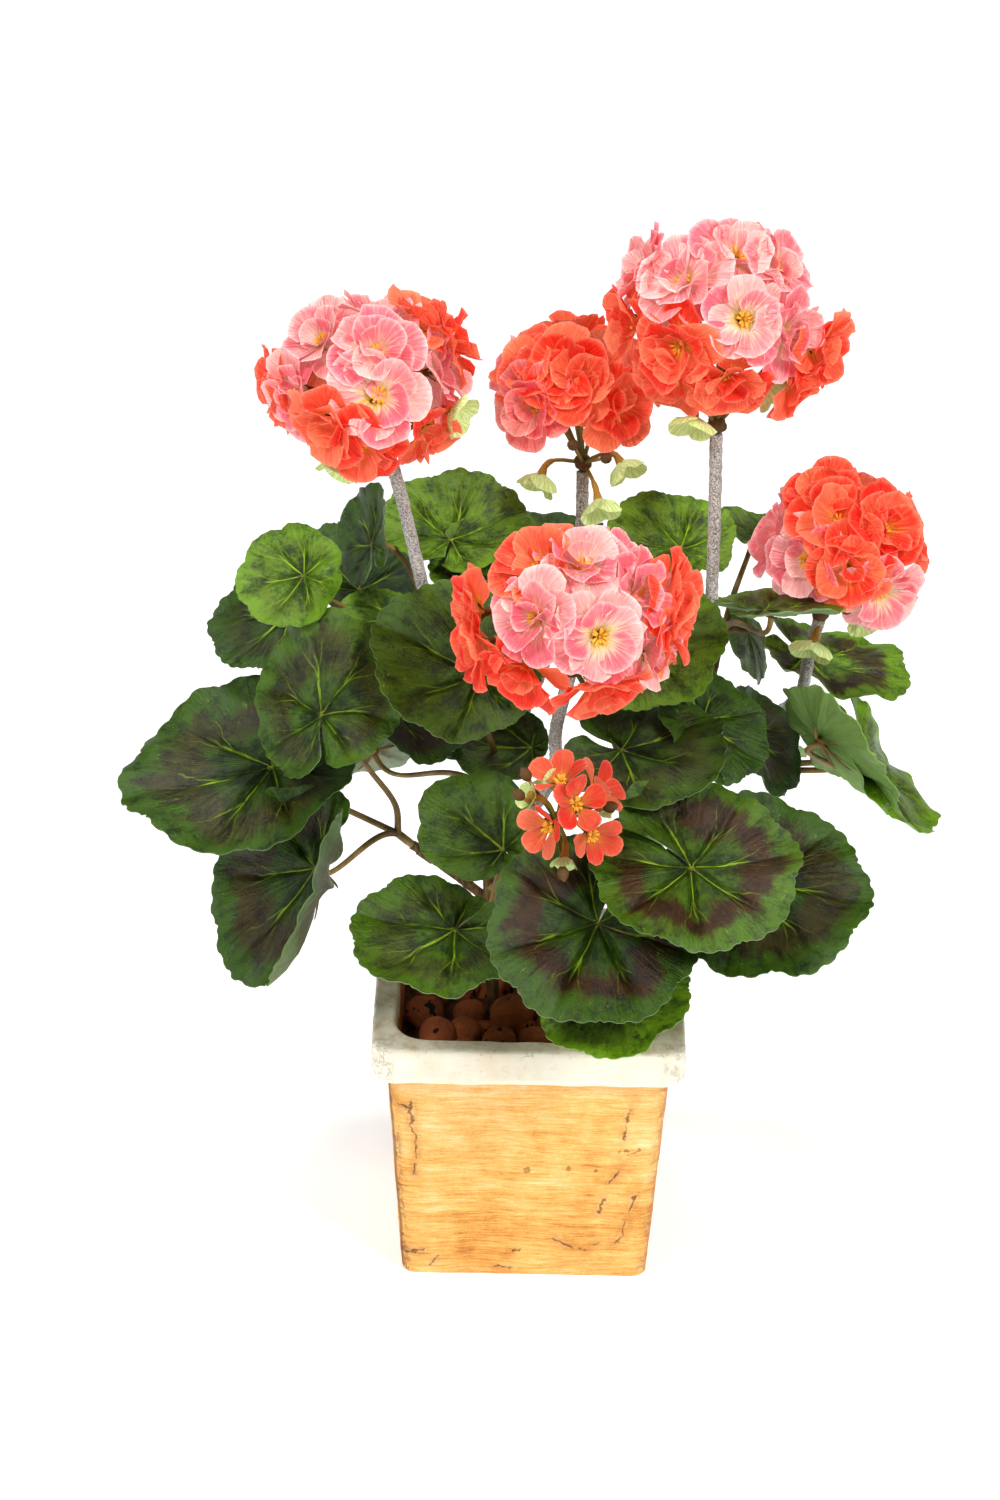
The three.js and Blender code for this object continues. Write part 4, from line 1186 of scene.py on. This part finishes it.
# Each floret: degrees round from +X, degrees up, and how far its middle stands off the head's centre
heads = {
    "a": {
        "slot": "pink_petals", "hub": (-60, -15, 361), "centre": (-68, -15, 386),
        "florets": [
            ("pink", -167, 46), ("pink", 83, 69), ("coral", 26, 47, 38), ("pink", -80, 50), ("pink", 7, 12),
            ("coral", 20, 25, 42), ("cream", -80, 14), ("pink", -169, -2), ("coral", 172, -5, 40),
            ("coral", -95, -28), ("coral", -14, -36), ("coral", -120, -10), ("pink", 90, 20),
            ("coral", 140, 12), ("pink", 45, -5),
        ],
        "bells": [(-7, -15, 41), (-152, -67, 39)],
        "buds": [],
    },
    "b": {
        "slot": "coral_petals", "hub": (18, 50, 331), "centre": (14, 50, 358),
        "florets": [
            ("coral", -105, 46), ("rose", -129, 11), ("coral", -56, 15), ("coral", -144, 37),
            ("coral", -84, 35), ("coral", 90, 40), ("coral", 30, 15), ("pink", 150, 10),
        ],
        "bells": [(-154, -65, 42), (-19, -51, 40), (-59, -62, 50)],
        "buds": [(26.6, 22, 344.1), (13.1, 22, 349.5)],
    },
    "c": {
        "slot": "pink_petals", "hub": (70, 5, 366), "centre": (70, 5, 408),
        "florets": [
            ("pink", -145, 46), ("pink", 10, 80), ("pink", 164, 32, 42), ("pink", 15, 41, 37),
            ("cream", -73, 23), ("pink", -31, 3), ("coral", -7, -10, 44), ("coral", 178, -2, 40),
            ("coral", -128, -2), ("coral", -83, -31), ("coral", -16, -33, 42), ("coral", -137, -36),
            ("coral", 90, 20), ("pink", 135, 0), ("coral", 45, 10),
        ],
        "bells": [(-124, -63, 46), (-12, -50, 39)],
        "buds": [],
    },
    "d": {
        "slot": "pink_petals", "hub": (13, -70, 292), "centre": (14, -75, 314),
        "florets": [
            ("coral", 178, 2, 44), ("coral", -174, -15, 43), ("coral", -161, 58), ("pink", -76, 73),
            ("pink", 22, 53), ("pink", -126, 22), ("cream", -70, 11), ("pink", -14, 30),
            ("coral", 5, 13, 43), ("pink", -11, -20, 37), ("coral", -145, -33), ("coral", -63, -40),
            ("coral", -2, -3, 42), ("pink", 90, 30), ("coral", 60, 0),
        ],
        "bells": [],
        "buds": [],
    },
    "e": {
        "slot": "coral_petals", "hub": (116, 12, 282), "centre": (125, 15, 306),
        "florets": [
            ("coral", -147, 65), ("coral", -104, 49), ("coral", -54, 43), ("pink", -129, 13),
            ("coral", -92, 13), ("cream", -62, -11), ("coral", 90, 30), ("coral", 20, 15),
            ("pink", 160, 10),
        ],
        "bells": [(-143, -69, 46), (-49, -59, 33)],
        "buds": [(124.7, -8, 292.4)],
    },
    "f": {
        "slot": "coral_petals", "hub": (9, -70, 225), "centre": (14, -85, 235), "simple": True,
        "florets": [
            ("salmon", 177, 73, 20), ("salmon", -81, 45, 20), ("salmon", -127, 3, 20),
            ("salmon", -51, -15, 20), ("salmon", 21, 38, 21),
        ],
        "bells": [(180, 23, 24), (0, 15, 20), (-104, -63, 25), (140, 45, 24)],
        "buds": [(-6.4, -88, 245.2), (29.4, -90, 241.7), (11.5, -98, 216.4), (-3.8, -84, 252.1)],
    },
}


def petalFinish():
    finish = Finish("petal", {
        "Specular IOR Level": 0.25,
        "Roughness": 0.6,
        "Sheen Weight": 0.08,
        "Sheen Roughness": 0.5,
        "Subsurface Weight": 0.15,
        "Subsurface Radius": (1.0, 0.35, 0.25),
        "Subsurface Scale": 0.001,
        # The glow is painted light
        "Emission Strength": 0.2,
    })
    place = finish.place()
    along, side, rim = finish.mark("along"), finish.mark("side"), finish.mark("rim")
    coral, throat, tone = finish.mark("coral"), finish.mark("throat"), finish.mark("tone")
    back = finish.mark("back")
    creases = finish.patches(finish.vector(side * 10, along * 1.3, tone * 40), 0.3, 0.7, 1.0, 3, 0.6)
    soft = finish.cloud(place, 110, 2)
    # The wash takes painted shading along the creases, and the backs are painted paler to lift the shade on
    # them
    wash = finish.ease(soft * 0.7 + creases * 0.2 + tone * 0.6 + back * 0.15, 0.4, 1.15)
    pink = finish.mix(wash, petalColours["pink"], petalColours["pinkPale"])
    vivid = finish.mix(wash, petalColours["coral"], petalColours["coralPale"])
    colour = finish.mix(coral, pink, vivid)
    edge = finish.mix(coral, petalColours["edgePink"], petalColours["edgeCoral"])
    colour = finish.mix(rim ** 2.5 * (0.65 - 0.25 * coral), colour, edge)
    # The throat runs from cream to yellow and orange
    inward = along - (creases - 0.5) * 0.25
    pale = finish.mix(coral, petalColours["cream"], petalColours["coralThroat"])
    colour = finish.mix(finish.ease(inward, 0.75, 0.35) * throat * (1 - back) * 0.85, colour, pale)
    middle = finish.ease(inward, 0.5, 0.18) * throat * (1 - back * 0.6)
    colour = finish.mix(middle, colour, petalColours["throat"])
    colour = finish.mix(finish.ease(inward, 0.25, 0.05) * throat, colour, petalColours["deepThroat"])
    finish.paint(colour)
    # The petals glow in their own colour, painted light that lifts their shade in place of light through the
    # thin cloth
    finish.feed(finish.shader.inputs["Emission Color"], colour)
    finish.relief(creases + 0.15 * finish.cloud(place, 1200, 2), 0.0009)
    return finish


def pedicelFinish():
    finish = Finish("pedicel", {"Specular IOR Level": 0.35})
    soft = finish.cloud(finish.place(), 250, 3)
    colour = finish.ramp(finish.mark("along") * 0.8 + soft * 0.3 - 0.1, petalColours["green"])
    finish.paint(colour, 0.5 + 0.3 * soft)
    finish.relief(soft, 0.0003)
    return finish


def calyxFinish():
    finish = Finish("calyx", {"Specular IOR Level": 0.3})
    soft = finish.cloud(finish.place(), 400, 3)
    finish.paint(finish.mix(soft, petalColours["calyx"], petalColours["bud"]), 0.6 + 0.2 * soft)
    finish.relief(soft, 0.0004)
    return finish


def bellFinish():
    finish = Finish("bell", {
        "Specular IOR Level": 0.25,
        "Subsurface Weight": 0.2,
        "Subsurface Scale": 0.001,
        # The glow is painted light
        "Emission Strength": 0.12,
    })
    place = finish.place()
    along, side = finish.mark("along"), finish.mark("side")
    ribs = finish.cloud(finish.vector(side * 9, along * 2, 0.0), 1.0, 2)
    colour = finish.mix(finish.ease(ribs, 0.35, 0.7), petalColours["bellDeep"], petalColours["bell"])
    colour = finish.mix(finish.ease(along, 0.16, 0.04) * 0.7, colour, "#8E7A34")
    finish.paint(colour, 0.6 + 0.2 * finish.cloud(place, 300, 2))
    # The bells glow in their own colour, painted light that lifts the shade under the head
    finish.feed(finish.shader.inputs["Emission Color"], colour)
    finish.relief(ribs, 0.0006)
    return finish


def pollenFinish():
    finish = Finish("pollen", {"Roughness": 0.8})
    grain = finish.cloud(finish.place(), 900, 2)
    finish.paint(finish.mix(grain, petalColours["pollen"], "#FFD24A"))
    finish.relief(grain, 0.0003)
    return finish


# The finishes of a head, in the order in which makeHeads lists them
petalSkin, stemSkin, calyxSkin, bellSkin, pollenSkin = range(5)


def petal(mesh, frameOf, layer, turn, scale, opening, kind, finish, chance):
    # One petal as a flattened closed skin: up its inner face from one side and back down the outer one
    sides, rows = layer["sides"], layer["rows"]
    length = layer["length"] * scale * chance.uniform(0.93, 1.05)
    loose = layer["loose"]
    first = radians(layer["from"] + chance.uniform(-0.4, 0.4) * loose)
    last = radians(layer["to"] * opening + chance.uniform(-1, 1) * loose)
    bowl = radians(layer["bowl"] + chance.uniform(-1, 1) * loose)
    tipRoll = radians(chance.uniform(-2, 3) * loose)
    fan = radians(layer["fan"])
    roll = radians(chance.uniform(-1.2, 1.2) * loose)
    azimuth = radians(turn + chance.uniform(-0.5, 0.5) * loose)
    phase = chance.uniform(0, 6)
    waves = chance.uniform(1.6, 2.3)
    outward = Vector((cos(azimuth), sin(azimuth), 0))
    aside = Vector((-sin(azimuth), cos(azimuth), 0))
    tone = chance.random()
    notch = chance.uniform(0, 0.05)
    hollowed = chance.uniform(0.4, 1.3)

    # Out, up and lean along the middle line
    steps = 12
    middle = [(0.9, 0, first)]
    for i in range(steps):
        share = (i + 0.5) / steps
        lean = first + (last - first) * share + bowl * sin(pi * share) + tipRoll * max(0, share - 0.72) * 3
        out, rise, _ = middle[-1]
        middle.append((out + sin(lean) * length / steps, rise + cos(lean) * length / steps, lean))

    def place(column, row):
        isBack = column > sides
        s = -1 + 2 * (column if not isBack else 2 * sides - column) / sides
        s = sin(s * pi / 2) * 0.6 + s * 0.4
        v = row / rows
        v = (v + sin(v * pi / 2)) / 2
        outline = 1 - 0.2 * s * s - 0.2 * s ** 6 - notch * (1 - abs(s))
        distance = v * length * outline
        spread = fan * s * (0.45 + 0.65 * v ** 0.6)
        lateral = distance * sin(spread)
        passed = min(distance * cos(spread) / length, 1) * steps
        i = min(int(passed), steps - 1)
        r, z, lean = [a + (b - a) * (passed - i) for a, b in zip(middle[i], middle[i + 1])]
        normal = up * sin(lean) - outward * cos(lean)
        lift = hollowed * lateral * lateral / (2 * (r + 5)) + lateral * sin(roll) + 0.5 * s * v * scale
        lift += layer["ruffle"] * scale * v ** 2.5 * sin(waves * pi * s + phase)
        lift += 0.3 * layer["ruffle"] * scale * v ** 6 * sin(4.4 * pi * s + 2 * phase)
        lift += layer["crease"] * scale * v * (1 if column % 2 else -1)
        lift += headShape["thickness"] * (0.5 if not isBack else -0.5) * (1 - s ** 4) * (1 - v ** 4)
        point = outward * r + up * z + aside * lateral + normal * lift
        rim = max(0, (abs(s) - 0.9) * 10 * min(1, v * 1.6), (v - 0.88) * 8.3)
        marks = {"along": v, "side": s, "rim": rim, "coral": kind.get("coral", 0), "tone": tone,
                 "throat": kind.get("throat", 0), "back": float(isBack)}
        return frameOf @ point, marks

    bentGrid(mesh, 2 * sides, rows, place, finish)


def petalLayer(mesh, frameOf, name, turn, scale, kind, finish, chance):
    layer = petalLayers[name]
    opening = kind.get("open", 1)
    for i in range(layer["count"]):
        turned = turn + i * 360 / layer["count"]
        petal(mesh, frameOf, layer, turned, scale, opening, kind, finish, chance)


def pedicelTo(mesh, hub, base, direction, chance):
    # From the hub to the neck behind the floret, thicker in its last part, where the sleeve is
    neck = base - direction * 1.5
    length = (neck - hub).length
    run = (base - direction * 6 - hub).normalized()
    before = neck - direction * min(7, 0.4 * length)
    curve = interpolate_bezier(hub, hub + run * 0.45 * length, before, neck, 14)

    def girth(share):
        near = share * length - (length - 6)
        return headShape["pedicel"] + (headShape["sleeve"] - headShape["pedicel"]) * min(1, max(0, near))

    tube(mesh, curve, girth, 7, stemSkin, lambda share: {"along": share}, rough=0.06)


def calyx(mesh, frameOf, turn, scale, chance):
    cup = headShape["cup"]
    run = [frameOf @ Vector((0, 0, z)) for z, girth in cup]
    tube(mesh, run, lambda share: cup[round(share * (len(cup) - 1))][1] * scale, 10, calyxSkin)
    petalLayer(mesh, frameOf @ Matrix.Translation((0, 0, -0.6)), "sepal", turn, scale, {}, calyxSkin, chance)


def stamens(mesh, frameOf, scale, chance):
    for i in range(headShape["stamens"]):
        angle = i * 2 * pi / headShape["stamens"] + chance.uniform(-0.2, 0.2)
        out = chance.uniform(2.6, 4)
        height = chance.uniform(4.5, 7)
        aside = Vector((cos(angle), sin(angle), 0))
        points = [aside * 0.4 + up * 2, aside * out * 0.3 + up * height * 0.8, aside * out + up * height]
        curve = interpolate_bezier(points[0], points[1], points[1], points[2], 8)
        run = [frameOf @ (p * scale) for p in curve]
        tube(mesh, run, lambda share: 0.3 if share < 0.7 else 0.6, 5, pollenSkin)
    pistil = [frameOf @ Vector((0, 0, z * scale)) for z in (1.5, 3, 4.5, 5.6)]
    marks = lambda share: {"along": 0.3 + 0.6 * share}
    tube(mesh, pistil, lambda share: 0.9 - 0.3 * share, 6, stemSkin, marks)


def makeHead(name, head, finishes):
    mesh = newMesh("along", "side", "rim", "coral", "throat", "tone", "back")
    hub, centre = Vector(head["hub"]), Vector(head["centre"])
    chance = random.Random(f"head {name}")
    knot = bmesh.ops.create_icosphere(mesh, subdivisions=3, radius=headShape["hubRadius"])["verts"]
    for corner in knot:
        swell = 0.9 + 0.25 * noise.noise(corner.co * 0.6 + hub)
        corner.co = (hub + corner.co * swell) * mm
    for face in mesh.faces:
        face.smooth = True
        face.material_index = calyxSkin

    def stand(round_, rise, out, depth):
        turned, risen = radians(round_), radians(rise)
        direction = Vector((cos(turned) * cos(risen), sin(turned) * cos(risen), sin(risen)))
        # Those at the sides turn a little towards the front
        front = Vector((0, -headShape["towardsFront"], 0)) * (1 - abs(direction.y))
        facing = (direction + front).normalized()
        base = centre + direction * out - facing * depth
        frameOf = Matrix.Translation(base) @ up.rotation_difference(facing).to_matrix().to_4x4()
        pedicelTo(mesh, hub, base, facing, chance)
        return frameOf

    for number, (colour, round_, rise, *out) in enumerate(head["florets"]):
        kind = dict(floretKinds[colour])
        kind["open"] *= chance.uniform(0.9, 1.1)
        depth = headShape["simpleDepth"] if head.get("simple") else headShape["depth"]
        frameOf = stand(round_, rise, out[0] if out else 33, depth)
        scale = headShape["smallScale"] if head.get("simple") else chance.uniform(0.95, 1.06)
        calyx(mesh, frameOf, 25 * number, scale, chance)
        for axis in "XY":
            frameOf = frameOf @ Matrix.Rotation(radians(chance.uniform(-8, 8)), 4, axis)
        if head.get("simple"):
            petalLayer(mesh, frameOf, "single", 25 * number, 1, kind, petalSkin, chance)
        else:
            petalLayer(mesh, frameOf, "outer", 25 * number, scale, kind, petalSkin, chance)
            petalLayer(mesh, frameOf, "middle", 25 * number + 36, scale, kind, petalSkin, chance)
            if colour != "cream":
                petalLayer(mesh, frameOf, "inner", 25 * number + 15, scale, kind, petalSkin, chance)
        stamens(mesh, frameOf, scale, chance)
    for number, (round_, rise, out) in enumerate(head["bells"]):
        frameOf = stand(round_, rise, out, headShape["bellDepth"])
        size = 0.6 if head.get("simple") else 1
        petalLayer(mesh, frameOf, "bell", 40 * number, size, {}, bellSkin, chance)
        neck = [frameOf @ Vector((0, 0, z)) for z in (-4, -2.5, -1, 0.5, 2)]
        tube(mesh, neck, lambda share: 1.1 + 1.3 * share, 8, stemSkin, lambda share: {"along": 0.8})
    bud = headShape["bud"]
    for place in head["buds"]:
        place = Vector(place)
        direction = (place - hub).normalized()
        run = interpolate_bezier(hub, hub.lerp(place, 0.5), place - direction * 6, place - direction * 3, 12)
        tube(mesh, run, lambda share: headShape["budStalk"], 6, stemSkin, lambda share: {"along": share})
        body = [place + direction * d for d, girth in bud]
        tube(mesh, body, lambda share: bud[round(share * (len(bud) - 1))][1], 10, calyxSkin)
    finishPiece(mesh, f"flowers_{name}", f"flower_head_{name}", head["slot"], finishes, 70)


def makeHeads():
    finishes = [petalFinish(), pedicelFinish(), calyxFinish(), bellFinish(), pollenFinish()]
    for name, head in heads.items():
        makeHead(name, head, finishes)


makeHeads()


def makeFloor():
    mesh = bmesh.new()
    bmesh.ops.create_grid(mesh, x_segments=1, y_segments=1, size=6)
    data = bpy.data.meshes.new("floor")
    mesh.to_mesh(data)
    mesh.free()
    data.materials.append(floorFinish().material)
    floor = bpy.data.objects.new("floor", data)
    bpy.context.collection.objects.link(floor)


makeFloor()

print("done")
